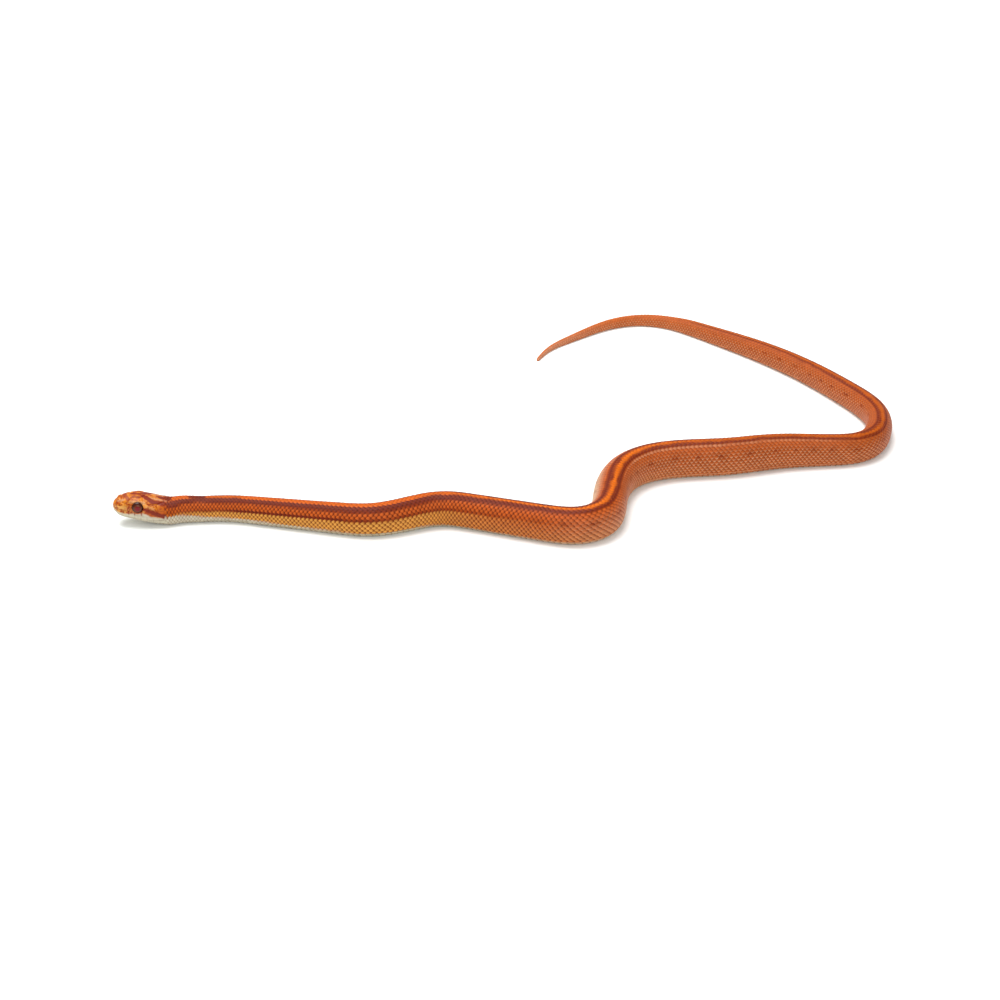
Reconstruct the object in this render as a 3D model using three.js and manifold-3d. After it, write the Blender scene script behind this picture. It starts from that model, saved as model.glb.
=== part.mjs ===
// A juvenile striped corn snake at life size, lying stretched out in easy curves.
// Millimetres, +Z up. The floor is z = 0, and the origin is the middle of the floor that the snake covers.
// Places on the animal are given as s, the distance along its back from the snout's tip to the tail's tip,
// and as a girth angle in degrees: 0 on the back, 90 on the left flank, 180 on the belly.
import * as THREE from "three";
import { mergeVertices } from "three/addons/utils/BufferGeometryUtils.js";
import Module from "manifold-3d";

const wasm = await Module();
wasm.setup();

// Driving dimensions of the whole animal.
const TOTAL_LENGTH = 380;
const HEAD_LENGTH = 16.5;
const CUT_GAP = 0.3;
const SCUTE_PITCH = 3.0;
const SCUTE_RELIEF = 0.28;

// Where the snout's tip lies on the floor plan, and the way from there towards the tail.
const SNOUT_PLACE = { x: -102.7, y: -55.65, heading: 4.5 };

// The pose: the back turns left by so many degrees, about a middle, over a half span either way.
const BENDS = [
  { middle: 29.5, half: 9, turn: -17.5 },
  { middle: 67.5, half: 10.5, turn: 37 },
  { middle: 85.5, half: 9.5, turn: -43 },
  { middle: 125.5, half: 15, turn: 104 },
  { middle: 157.5, half: 24, turn: -79.5 },
  { middle: 185, half: 8, turn: 10 },
  { middle: 200, half: 9, turn: -10.5 },
  { middle: 222.5, half: 11, turn: 60.5 },
  { middle: 241, half: 20, turn: 54 },
  { middle: 282, half: 39.5, turn: 17.5 },
  { middle: 338, half: 24.5, turn: 85 },
  { middle: 372, half: 10, turn: 25.5 },
];

// Half width of the trunk and tail at some distances from the snout.
const GIRTH = [
  [16.5, 3.1],
  [23, 2.9],
  [45, 3.23],
  [75, 3.77],
  [110, 4.04],
  [150, 4.35],
  [190, 4.26],
  [215, 3.66],
  [250, 3.23],
  [290, 2.74],
  [322, 1.93],
  [330, 1.62],
  [350, 1.21],
  [368, 0.76],
  [380, 0.38],
];
const HEIGHT_TO_WIDTH = 1.08;
const TAIL_ROUNDING = 0.8;

// The head: half width, and the levels of crown and chin above the floor, which rise towards the snout.
const HEAD = [
  { s: 0, half: 2.1, crown: 6.95, chin: 3.4, boxy: 2.3 },
  { s: 2.4, half: 2.8, crown: 7.55, chin: 2.5, boxy: 2.5 },
  { s: 4.4, half: 3.2, crown: 7.98, chin: 1.95, boxy: 2.6 },
  { s: 6.6, half: 3.7, crown: 7.95, chin: 1.4, boxy: 2.6 },
  { s: 9.4, half: 4.15, crown: 7.3, chin: 0.85, boxy: 2.4 },
  { s: 12.2, half: 4.2, crown: 6.6, chin: 0.35, boxy: 2.2 },
  { s: 14.4, half: 3.8, crown: 6.15, chin: 0, boxy: 2.1 },
];
const SNOUT_ROUNDING = 1.9;
const SNOUT_TIP_LEVEL = 5.1;

// Where the head's section passes into the trunk's.
const HEAD_BLEND = [HEAD_LENGTH + 1.5, HEAD_LENGTH + 6, HEAD_LENGTH + 9];

// The lengths of trunk and tail, from the head back, and how many double belly scutes each has.
const LENGTHS = [
  ["neck", 10],
  ["torso_1", 11],
  ["torso_2", 10],
  ["torso_3", 6],
  ["torso_4", 7],
  ["torso_5", 9],
  ["torso_6", 12],
  ["torso_7", 6],
  ["torso_8", 8],
  ["torso_9", 12],
  ["torso_10", 12],
  ["tail_1", 6],
  ["tail_2", 6],
  ["tail_3", 6],
];

// The section's own shape: where it is widest, and how flat its belly is.
const WIDEST_AT = 0.47;
const BELLY_BOXY = 2.7;
const BELLY_SINK = 1.06;

// Points round the trunk, numbered from the back by the left flank, and those that the belly lies between.
const COLUMNS = 18;
const BELLY_FIRST = 6;
const BELLY_LAST = 12;

// Along its own length a belly scute comes up to the floor, and then ends in a step.
const SCUTE_RISEN_AT = 0.3;
const SCUTE_ENDS_AT = 0.93;
const RELIEF_SHARE = 0.12;
const DEEPEST_SHARE = 0.6;
const END_OVER = 0.03;

const rad = THREE.MathUtils.degToRad;

// A smooth curve through a table's rows, read at x: each row is a place and its value.
function smooth(rows, x) {
  const last = rows.length - 1;
  let i = rows.findIndex(([at]) => at > x) - 1;
  if (x >= rows[last][0]) i = last - 1;
  i = Math.max(0, Math.min(last - 1, i));
  const slope = (j) => {
    const a = rows[Math.max(j - 1, 0)];
    const b = rows[Math.min(j + 1, last)];
    return (b[1] - a[1]) / (b[0] - a[0]);
  };
  const [x0, y0] = rows[i];
  const [x1, y1] = rows[i + 1];
  const w = x1 - x0;
  const t = THREE.MathUtils.clamp((x - x0) / w, 0, 1);
  const t2 = t * t;
  const t3 = t2 * t;
  return (
    (2 * t3 - 3 * t2 + 1) * y0 +
    (t3 - 2 * t2 + t) * w * slope(i) +
    (3 * t2 - 2 * t3) * y1 +
    (t3 - t2) * w * slope(i + 1)
  );
}

// The heading of the back at s, in radians from +X, pointing towards the tail.
function headingAt(s) {
  let degrees = SNOUT_PLACE.heading;
  for (const { middle, half, turn } of BENDS) {
    const u = THREE.MathUtils.clamp((s - middle) / half, -1, 1);
    degrees += (turn / 2) * (1 + u + Math.sin(Math.PI * u) / Math.PI);
  }
  return rad(degrees);
}

// The floor point under the back at each step from the snout.
const STEP = 0.1;
const route = [new THREE.Vector2(SNOUT_PLACE.x, SNOUT_PLACE.y)];
for (let s = STEP / 2; s < TOTAL_LENGTH + 1; s += STEP) {
  const a = headingAt(s);
  const p = route[route.length - 1];
  route.push(new THREE.Vector2(p.x + STEP * Math.cos(a), p.y + STEP * Math.sin(a)));
}

function floorPoint(s) {
  const i = THREE.MathUtils.clamp(Math.floor(s / STEP), 0, route.length - 2);
  return route[i].clone().lerp(route[i + 1], s / STEP - i);
}

// How far a rounded end has opened at a distance from its tip.
function opened(distance, rounding) {
  const t = THREE.MathUtils.clamp(distance / rounding, 0, 1);
  return Math.sqrt(1 - (1 - t) ** 2);
}

// The section at s: half width, lowest and highest level, and how boxy its upper half is.
function sectionAt(s) {
  if (s >= HEAD_BLEND[1]) {
    const half = smooth(GIRTH, s) * opened(TOTAL_LENGTH - s, TAIL_ROUNDING);
    return { half, low: 0, high: 2 * half * HEIGHT_TO_WIDTH, boxy: 2 };
  }
  const rows = (key, from) => [
    ...HEAD.map((row) => [row.s, row[key]]),
    ...HEAD_BLEND.map((x) => [x, from(x)]),
  ];
  const half = smooth(rows("half", (x) => smooth(GIRTH, x)), s);
  const high = smooth(rows("crown", (x) => 2 * HEIGHT_TO_WIDTH * smooth(GIRTH, x)), s);
  const low = Math.max(0, smooth(rows("chin", () => 0), s));
  const open = opened(s, SNOUT_ROUNDING);
  return {
    half: half * open,
    low: SNOUT_TIP_LEVEL + (low - SNOUT_TIP_LEVEL) * open,
    high: SNOUT_TIP_LEVEL + (high - SNOUT_TIP_LEVEL) * open,
    boxy: smooth(rows("boxy", () => 2), s),
  };
}

// A point of the skin in the section's own plane: x towards the animal's left, y up from the floor.
function sectionPoint(s, degrees) {
  const { half, low, high, boxy } = sectionAt(s);
  const widest = low + WIDEST_AT * (high - low);
  const sin = Math.sin(rad(degrees));
  const cos = Math.cos(rad(degrees));
  const power = 2 / (cos > 0 ? boxy : BELLY_BOXY);
  const x = Math.sign(sin) * half * Math.abs(sin) ** power;
  const up = Math.abs(cos) ** power;
  const y = cos > 0 ? widest + (high - widest) * up : widest - (widest - low) * BELLY_SINK * up;
  return new THREE.Vector2(x, Math.max(y, low));
}

// A section point moved towards the section's middle by a depth, or out of it by a negative one.
function sunk(s, degrees, depth) {
  const p = sectionPoint(s, degrees);
  const { low, high } = sectionAt(s);
  const middle = new THREE.Vector2(0, low + WIDEST_AT * (high - low));
  const inward = middle.sub(p);
  const reach = inward.length();
  return reach < 1e-6 ? p : p.addScaledVector(inward, Math.min(depth, reach * DEEPEST_SHARE) / reach);
}

// The plane of the section at s, placed in the part's frame.
function placed(s, p) {
  const a = headingAt(s);
  const at = floorPoint(s);
  return new THREE.Vector3(at.x + p.x * Math.sin(a), at.y - p.x * Math.cos(a), p.y);
}

const skinPoint = (s, degrees, depth = 0) => placed(s, sunk(s, degrees, depth));

// A closed mesh from points and triangles.
function geometryOf(points, triangles) {
  return new THREE.BufferGeometry().setFromPoints(points).setIndex(triangles.flat());
}

function solidOf(geometry) {
  const g = geometry.index ? geometry.toNonIndexed() : geometry.clone();
  g.deleteAttribute("normal");
  g.deleteAttribute("uv");
  const merged = mergeVertices(g, 1e-4);
  const mesh = new wasm.Mesh({
    numProp: 3,
    vertProperties: merged.attributes.position.array,
    triVerts: new Uint32Array(merged.index.array),
  });
  return new wasm.Manifold(mesh);
}

function geometryFrom(solid) {
  const mesh = solid.getMesh();
  const points = [];
  for (let i = 0; i < mesh.numVert; i++) {
    points.push(new THREE.Vector3(...mesh.vertProperties.slice(3 * i, 3 * i + 3)));
  }
  const geometry = new THREE.BufferGeometry().setFromPoints(points);
  return geometry.setIndex([...mesh.triVerts]);
}

// A skin of rings, closed by a fan at each end.
function loft(rings) {
  const n = rings[0].length;
  const points = rings.flat();
  const triangles = [];
  for (let r = 0; r + 1 < rings.length; r++) {
    for (let c = 0; c < n; c++) {
      const a = r * n + c;
      const b = r * n + ((c + 1) % n);
      triangles.push([a, b, a + n], [b, b + n, a + n]);
    }
  }
  const fan = (r, flip) => {
    const sum = rings[r].reduce((total, p) => total.add(p), new THREE.Vector3());
    const middle = points.push(sum.divideScalar(n)) - 1;
    for (let c = 0; c < n; c++) {
      const a = r * n + c;
      const b = r * n + ((c + 1) % n);
      triangles.push(flip ? [b, a, middle] : [a, b, middle]);
    }
  };
  fan(0, true);
  fan(rings.length - 1, false);
  return geometryOf(points, triangles);
}

// One length of trunk or tail. Its back is a plain loft. Its belly has a raised scute every pitch:
// each starts sunk under the one before it, comes up to the floor, runs flat, and ends in a step.
function trunkLength(from, scutes) {
  const start = from + CUT_GAP / 2;
  const to = from + scutes * SCUTE_PITCH;
  const end = TOTAL_LENGTH - to < SCUTE_PITCH ? TOTAL_LENGTH - END_OVER : to - CUT_GAP / 2;
  const pitch = (end - start) / scutes;
  const points = [];
  const triangles = [];
  const isBelly = (c) => c > BELLY_FIRST && c < BELLY_LAST;
  const put = (s, c, depth) => points.push(skinPoint(s, (360 * c) / COLUMNS, depth)) - 1;
  const reliefAt = (s) => Math.min(SCUTE_RELIEF, RELIEF_SHARE * sectionAt(s).half);
  const row = (s, raised) => {
    const made = [];
    for (let c = 0; c < COLUMNS; c++) made.push(put(s, c, isBelly(c) && !raised ? reliefAt(s) : 0));
    return made;
  };
  const bellyRow = (s) => {
    const made = new Map();
    for (let c = BELLY_FIRST + 1; c < BELLY_LAST; c++) made.set(c, put(s, c, 0));
    return made;
  };
  const quad = (a, b, c, d) => triangles.push([a, b, d], [b, c, d]);
  const first = row(start, false);
  let previous = first;
  for (let k = 0; k < scutes; k++) {
    const s = start + k * pitch;
    const risen = bellyRow(s + SCUTE_RISEN_AT * pitch);
    const ending = bellyRow(s + SCUTE_ENDS_AT * pitch);
    const next = row(s + pitch, false);
    for (let c = 0; c < COLUMNS; c++) {
      const d = (c + 1) % COLUMNS;
      const steps = [previous, risen, ending, next];
      if (isBelly(c) && isBelly(d)) {
        for (let i = 0; i < 3; i++) {
          const at = (step, column) => (step instanceof Map ? step.get(column) : step[column]);
          quad(at(steps[i], c), at(steps[i], d), at(steps[i + 1], d), at(steps[i + 1], c));
        }
      } else if (c === BELLY_FIRST) {
        triangles.push([previous[c], previous[d], risen.get(d)]);
        triangles.push([previous[c], risen.get(d), ending.get(d)]);
        triangles.push([previous[c], ending.get(d), next[c]]);
        triangles.push([next[c], ending.get(d), next[d]]);
      } else if (d === BELLY_LAST) {
        triangles.push([previous[c], previous[d], risen.get(c)]);
        triangles.push([previous[d], ending.get(c), risen.get(c)]);
        triangles.push([previous[d], next[d], ending.get(c)]);
        triangles.push([ending.get(c), next[d], next[c]]);
      } else {
        quad(previous[c], previous[d], next[d], next[c]);
      }
    }
    previous = next;
  }
  for (const [ring, s, flip] of [[first, start, true], [previous, end, false]]) {
    const { low, high } = sectionAt(s);
    const middle = points.push(placed(s, new THREE.Vector2(0, (low + high) / 2))) - 1;
    ring.forEach((a, c) => {
      const b = ring[(c + 1) % COLUMNS];
      triangles.push(flip ? [b, a, middle] : [a, b, middle]);
    });
  }
  return geometryOf(points, triangles);
}

// Head plates. Each is an outline of [s, girth angle] corners on the left side, going round once.
// Its rim and middle stand above the skin, its root and its root's middle lie under it.
const PLATE = { rim: 0.1, middle: 0.175, root: 0.5, deepest: 0.8, longestEdge: 1.9 };
const SUTURE = 0.11;
const MIDLINE = 1.2;

// A plate is a closed pad that follows the head.
function plate(corners, mirrored, centre) {
  const side = mirrored ? -1 : 1;
  const ring = [];
  corners.forEach(([s, degrees], i) => {
    const [nextS, nextDegrees] = corners[(i + 1) % corners.length];
    const from = skinPoint(s, degrees);
    const pieces = from.distanceTo(skinPoint(nextS, nextDegrees)) > PLATE.longestEdge ? 2 : 1;
    for (let k = 0; k < pieces; k++) {
      const t = k / pieces;
      ring.push([s + (nextS - s) * t, degrees + (nextDegrees - degrees) * t]);
    }
  });
  const middle = centre ?? [
    ring.reduce((sum, [s]) => sum + s, 0) / ring.length,
    ring.reduce((sum, [, degrees]) => sum + degrees, 0) / ring.length,
  ];
  const heart = skinPoint(middle[0], side * middle[1]);
  const edge = ring.map(([s, degrees]) => {
    const p = skinPoint(s, side * degrees);
    const reach = p.distanceTo(heart);
    return [s + ((middle[0] - s) * SUTURE) / reach, degrees + ((middle[1] - degrees) * SUTURE) / reach];
  });
  const at = ([s, degrees], depth) => skinPoint(s, side * degrees, depth);
  const n = edge.length;
  const points = [
    ...edge.map((p) => at(p, -PLATE.rim)),
    ...edge.map((p) => at(p, PLATE.root)),
    at(middle, -PLATE.middle),
    at(middle, PLATE.deepest),
  ];
  const triangles = [];
  for (let i = 0; i < n; i++) {
    const j = (i + 1) % n;
    triangles.push([i, j, 2 * n], [n + j, n + i, 2 * n + 1], [i, n + i, j], [j, n + i, n + j]);
  }
  const made = solidOf(geometryOf(points, triangles));
  return made.volume() > 0 ? made : solidOf(geometryOf(points, triangles.map(([a, b, c]) => [a, c, b])));
}

// The line of the mouth, as levels above the floor from the snout back to its corner.
const MOUTH = [
  [0, 3.95],
  [2, 3.45],
  [5, 2.85],
  [8, 2.4],
  [11, 2.2],
  [13.4, 2.35],
];
const MOUTH_CORNER = 13.4;

// The girth angle where the skin at s has a given level, on the lower flank.
function angleAtLevel(s, level) {
  let low = 60;
  let high = 178;
  for (let i = 0; i < 24; i++) {
    const middle = (low + high) / 2;
    if (sectionPoint(s, middle).y > level) low = middle;
    else high = middle;
  }
  return (low + high) / 2;
}

const lipAngle = (s, above) => angleAtLevel(s, smooth(MOUTH, s) + above);

// Each eye and nostril has its middle on the skin at s and a girth angle. The eye is an ellipsoid that
// is sunk by a depth, lies a little lower, and looks up by a tilt.
const EYE = { s: 6.5, degrees: 74.5, ball: 1.58, thickness: 1.3, depth: 0.74, lowered: 0.1, tilt: 4 };
const NOSTRIL = { s: 2.05, degrees: 66, length: 0.62, height: 0.46, depth: 0.5, proud: 0.1 };

function upperPlates() {
  const single = [
    {
      corners: [
        [1.2, -1], [1.05, 45], [0.75, 88], [0.7, 128],
        [0.7, 180], [0.7, 232], [0.75, 272], [1.05, 315],
      ],
      centre: [0.02, 180],
    },
    {
      corners: [
        [4.5, -23], [4.35, 0], [4.5, 23], [6.4, 17],
        [7.5, 12], [8.4, 0], [7.5, -12], [6.4, -17],
      ],
      centre: [6.2, 0],
    },
  ];
  const paired = [
    [[1.35, MIDLINE], [1.2, 36], [2.2, 40], [2.5, MIDLINE]],
    [[2.6, MIDLINE], [2.3, 42], [3.3, 56], [4.2, 50], [4.4, 24], [4.2, MIDLINE]],
    [[4.5, 27], [4.35, 50], [5.2, 54], [7.5, 53], [7.8, 46], [7.6, 15], [6.4, 20]],
    [[8.6, MIDLINE], [7.8, 15], [8.1, 44], [9.6, 47], [11.4, 38], [12.9, 20], [12.9, MIDLINE]],
    [[1.0, 50], [0.95, 84], [1.9, 84], [3.0, 80], [3.1, 60], [2.2, 45]],
    [[3.3, 60], [3.2, 82], [4.1, 82], [4.3, 62]],
    [[4.4, 54], [4.3, 84], [4.75, 84], [4.75, 54]],
    [[8.15, 50], [8.3, 66], [9.1, 66], [9.2, 50]],
    [[8.35, 68], [8.2, 84], [9.0, 86], [9.15, 68]],
    [[9.4, 52], [9.25, 70], [11.2, 70], [11.4, 44]],
    [[9.2, 72], [9.2, 90], [11.2, 90], [11.3, 72]],
    [[11.6, 44], [11.4, 64], [13.2, 62], [13.2, 34]],
    [[11.4, 67], [11.4, 90], [13.2, 88], [13.2, 66]],
  ];
  const made = single.map(({ corners, centre }) => plate(corners, false, centre));
  for (const corners of paired) made.push(plate(corners, false), plate(corners, true));
  return made;
}

// The lip plates run in a row from the snout to the corner of the mouth, above and below its line.
const LIP_PLATES = 8;
const LIP_FROM = 0.95;
const LIP_SHORT = 0.5;
const LIP_PARTING = 0.25;
const LOWER_LIP = { height: 1.2, lowest: 150 };
const UPPER_LIP_TOP = [
  [0, 88],
  [4.6, 92],
  [6.5, 104],
  [8.3, 96],
  [13.4, 95],
];

function lipPlates() {
  const made = [];
  const width = (MOUTH_CORNER - LIP_SHORT - LIP_FROM) / LIP_PLATES;
  for (let i = 0; i < LIP_PLATES; i++) {
    const a = LIP_FROM + i * width + SUTURE / 2;
    const b = a + width - SUTURE;
    const upper = [
      [a, smooth(UPPER_LIP_TOP, a)],
      [a, lipAngle(a, LIP_PARTING)],
      [b, lipAngle(b, LIP_PARTING)],
      [b, smooth(UPPER_LIP_TOP, b)],
    ];
    const lower = [
      [a, lipAngle(a, -LIP_PARTING)],
      [a, Math.min(lipAngle(a, -LOWER_LIP.height), LOWER_LIP.lowest)],
      [b, Math.min(lipAngle(b, -LOWER_LIP.height), LOWER_LIP.lowest)],
      [b, lipAngle(b, -LIP_PARTING)],
    ];
    for (const corners of [upper, lower]) made.push(plate(corners, false), plate(corners, true));
  }
  return made;
}

function chinPlates() {
  const pairs = [
    [[1.6, 178.5], [1.9, 157], [4.8, 157], [5.0, 178.5]],
    [[5.2, 178.5], [5.1, 158], [8.4, 160], [8.6, 178.5]],
  ];
  return pairs.flatMap((corners) => [plate(corners, false), plate(corners, true)]);
}

// The thin curved gap of the shut mouth, seen from the side, as one slot right across the head. Behind
// the corner it turns down through the throat.
const SLOT = { width: 16, before: 1, step: 1.2, throat: 1.6, below: 1 };

function mouthSlot() {
  const half = CUT_GAP / 2;
  const line = [];
  for (let s = -SLOT.before; s <= MOUTH_CORNER; s += SLOT.step) line.push([s, smooth(MOUTH, s)]);
  line.push([MOUTH_CORNER, smooth(MOUTH, MOUTH_CORNER)]);
  const upper = line.map(([s, z]) => new THREE.Vector2(s, z + half));
  const lower = line.map(([s, z]) => new THREE.Vector2(s, z - half));
  const outline = [
    ...upper,
    new THREE.Vector2(MOUTH_CORNER + SLOT.throat, -SLOT.below),
    new THREE.Vector2(MOUTH_CORNER + SLOT.throat - CUT_GAP, -SLOT.below),
    ...lower.reverse(),
  ];
  const shape = new THREE.Shape(outline);
  const slot = new THREE.ExtrudeGeometry(shape, { depth: SLOT.width, bevelEnabled: false, steps: 1 });
  slot.translate(0, 0, -SLOT.width / 2);
  return slot;
}

// Moves a shape drawn on the head's own axes, s back, up and left, to where the head lies.
function onHead(geometry) {
  const a = headingAt(EYE.s);
  const foot = floorPoint(EYE.s).sub(new THREE.Vector2(Math.cos(a), Math.sin(a)).multiplyScalar(EYE.s));
  const back = new THREE.Vector3(Math.cos(a), Math.sin(a), 0);
  const up = new THREE.Vector3(0, 0, 1);
  const right = new THREE.Vector3(-Math.sin(a), Math.cos(a), 0);
  const frame = new THREE.Matrix4().makeBasis(back, up, right.negate());
  frame.setPosition(foot.x, foot.y, 0);
  return geometry.clone().applyMatrix4(frame);
}

// The eye itself, or its socket when it is grown by the gap. Its pole looks out to the side.
function eyeball(mirrored, grown) {
  const side = mirrored ? -1 : 1;
  const p = sectionPoint(EYE.s, EYE.degrees);
  const ball = new THREE.SphereGeometry(1, 18, 12);
  ball.rotateX(Math.PI / 2);
  ball.scale(EYE.ball + grown, EYE.ball + grown, EYE.thickness + grown);
  ball.rotateX(rad(-side * EYE.tilt));
  ball.translate(EYE.s, p.y - EYE.lowered, side * (p.x - EYE.depth));
  return onHead(ball);
}

function nostril(mirrored) {
  const side = mirrored ? -1 : 1;
  const p = sectionPoint(NOSTRIL.s, NOSTRIL.degrees);
  const pit = new THREE.SphereGeometry(1, 10, 6);
  pit.scale(NOSTRIL.length / 2, NOSTRIL.height / 2, NOSTRIL.depth);
  pit.translate(NOSTRIL.s, p.y, side * (p.x + NOSTRIL.proud));
  return onHead(pit);
}

// The head's rings stand closer together towards the snout.
const HEAD_COLUMNS = 28;
const HEAD_RINGS = 22;
const CROWDING = 0.45;

function headLoft() {
  const rings = [];
  const end = HEAD_LENGTH - CUT_GAP / 2;
  for (let i = 0; i <= HEAD_RINGS; i++) {
    const t = i / HEAD_RINGS;
    const s = END_OVER + (end - END_OVER) * (CROWDING * t * t + (1 - CROWDING) * t);
    const ring = [];
    for (let c = 0; c < HEAD_COLUMNS; c++) ring.push(skinPoint(s, (360 * c) / HEAD_COLUMNS));
    rings.push(ring);
  }
  return loft(rings);
}

function headAndJaw() {
  const plates = [...upperPlates(), ...lipPlates(), ...chinPlates()];
  const whole = wasm.Manifold.union([solidOf(headLoft()), ...plates]);
  const cuts = [solidOf(onHead(mouthSlot()))];
  for (const mirrored of [false, true]) {
    cuts.push(solidOf(eyeball(mirrored, CUT_GAP)), solidOf(nostril(mirrored)));
  }
  const pieces = whole.subtract(wasm.Manifold.union(cuts)).decompose();
  pieces.sort((a, b) => b.volume() - a.volume());
  return { head: geometryFrom(pieces[0]), jaw: geometryFrom(pieces[1]) };
}

// Colours of a striped, red-eyed form with no black in it.
const finish = (color, roughness) => new THREE.MeshStandardMaterial({ color, roughness, metalness: 0 });
const crownSkin = finish("#c8622a", 0.42);
const jawSkin = finish("#e9dfc6", 0.45);
const flankSkin = finish("#b9552b", 0.4);
const tailSkin = finish("#c4633a", 0.4);
const eyeGlass = finish("#5a1512", 0.08);

const snake = new THREE.Group();

function add(name, geometry, material) {
  const mesh = new THREE.Mesh(geometry, material);
  mesh.name = name;
  snake.add(mesh);
}

const { head, jaw } = headAndJaw();
add("head", head, crownSkin);
add("jaw", jaw, jawSkin);
add("eye_left", eyeball(false, 0), eyeGlass);
add("eye_right", eyeball(true, 0), eyeGlass);

let from = HEAD_LENGTH;
for (const [name, scutes] of LENGTHS) {
  add(name, trunkLength(from, scutes), name.startsWith("tail") ? tailSkin : flankSkin);
  from += scutes * SCUTE_PITCH;
}

export default snake;
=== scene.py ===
"""The looks of a young striped corn snake, lying in easy curves on a pale studio floor.

Sizes and places on the animal are in millimetres and degrees, and become metres when a mesh is made.
A place on the skin is given by s, the distance along the back from the snout's tip, and by one of two
measures round the body: the girth angle, 0 on the back and 180 on the belly, positive on the animal's
left, or the wrap, the same thing as a share of the way round the skin, from -1 to 1.
"""

from __future__ import annotations

import logging
import math
from dataclasses import dataclass, field
from enum import Enum
from typing import Callable, Sequence

import bpy
import numpy as np
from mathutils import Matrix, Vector

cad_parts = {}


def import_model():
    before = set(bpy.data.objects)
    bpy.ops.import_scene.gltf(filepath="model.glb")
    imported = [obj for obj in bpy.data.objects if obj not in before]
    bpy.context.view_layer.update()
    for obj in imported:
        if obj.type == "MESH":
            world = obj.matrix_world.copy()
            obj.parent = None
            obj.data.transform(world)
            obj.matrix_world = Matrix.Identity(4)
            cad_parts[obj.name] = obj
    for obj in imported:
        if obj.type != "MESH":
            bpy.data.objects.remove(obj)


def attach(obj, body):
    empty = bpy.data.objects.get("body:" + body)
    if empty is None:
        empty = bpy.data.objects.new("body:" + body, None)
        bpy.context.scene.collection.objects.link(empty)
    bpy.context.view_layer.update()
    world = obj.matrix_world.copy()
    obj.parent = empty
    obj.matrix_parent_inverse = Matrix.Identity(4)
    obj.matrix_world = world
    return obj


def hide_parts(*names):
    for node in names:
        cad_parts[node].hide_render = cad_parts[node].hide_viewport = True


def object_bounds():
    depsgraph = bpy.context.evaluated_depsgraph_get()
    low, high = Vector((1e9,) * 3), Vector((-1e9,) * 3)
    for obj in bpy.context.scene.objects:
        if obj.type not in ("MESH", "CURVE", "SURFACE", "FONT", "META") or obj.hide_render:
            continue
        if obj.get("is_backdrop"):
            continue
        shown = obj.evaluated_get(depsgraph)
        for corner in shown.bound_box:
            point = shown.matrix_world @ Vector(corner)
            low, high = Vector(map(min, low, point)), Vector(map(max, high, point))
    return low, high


LOG = logging.getLogger("corn_snake")
MM = 0.001
Array = np.ndarray
Table = tuple[tuple[float, float], ...]

# The power at which a section is a plain ellipse.
ROUND = 2.0

# Farther than any place that a form reaches, in the units of its own reach.
OUT_OF_REACH = 9.0


def smooth_table(rows: Sequence[tuple[float, float]], x: Array) -> Array:
    """Reads a smooth curve through a table's rows.

    Args:
        rows: Places and their values, in order of place.
        x: The places to read.

    Returns:
        The value at each place, held level beyond the ends.
    """
    at = np.array([row[0] for row in rows])
    value = np.array([row[1] for row in rows])
    slope = np.empty_like(value)
    slope[1:-1] = (value[2:] - value[:-2]) / (at[2:] - at[:-2])
    slope[0] = (value[1] - value[0]) / (at[1] - at[0])
    slope[-1] = (value[-1] - value[-2]) / (at[-1] - at[-2])
    x = np.clip(np.asarray(x, float), at[0], at[-1])
    i = np.clip(np.searchsorted(at, x, side="right") - 1, 0, len(at) - 2)
    w = at[i + 1] - at[i]
    t = (x - at[i]) / w
    t2, t3 = t * t, t * t * t
    return (
        (2 * t3 - 3 * t2 + 1) * value[i]
        + (t3 - 2 * t2 + t) * w * slope[i]
        + (3 * t2 - 2 * t3) * value[i + 1]
        + (t3 - t2) * w * slope[i + 1]
    )


def value_at(rows: Sequence[tuple[float, float]], x: float) -> float:
    """Reads a table at one place."""
    return float(smooth_table(rows, np.array(x)))


def ease(x: Array, low: float, high: float) -> Array:
    """Goes smoothly from 0 at low to 1 at high."""
    t = np.clip((np.asarray(x, float) - low) / (high - low), 0.0, 1.0)
    return t * t * (3 - 2 * t)


def put_in_scene(name: str, data: bpy.types.ID) -> bpy.types.Object:
    """Makes an object of a mesh, light or camera, in the scene."""
    made = bpy.data.objects.new(name, data)
    bpy.context.scene.collection.objects.link(made)
    return made


def point_values(along: Array, around: Array, **own: Array | float) -> dict[str, Array]:
    """Lists the values that a finish reads at each point.

    Args:
        along: The points' distances from the snout, where their markings are read.
        around: The points' wraps, where their markings are read.
        own: Any of the other values that a piece gives itself.

    Returns:
        All the values, plain where a piece gives none.
    """
    plain = {"seam": 0.0, "mouth": 0.0, "tint": 0.5, "edge": 0.0, "shine": 0.0}
    rest = {name: np.broadcast_to(own.get(name, level), along.shape) for name, level in plain.items()}
    return {"along": along, "around": around, **rest}


@dataclass(frozen=True)
class Ridge:
    """A smooth low ridge or groove across a measure: its height, where its middle is and its half width."""

    height: float
    middle: float
    half: float

    def at(self, x: Array) -> Array:
        """Gives the ridge's height at places of the measure."""
        return self.height * np.exp(-(((x - self.middle) / self.half) ** 2))


@dataclass(frozen=True)
class Bend:
    """One turn of the back to the left, spread smoothly over a half span either side of its middle."""

    middle: float
    half: float
    turn: float


@dataclass(frozen=True)
class HeadStation:
    """The head's section at one distance from the snout: its half width, levels and boxiness."""

    s: float
    half: float
    crown: float
    chin: float
    boxy: float


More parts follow.
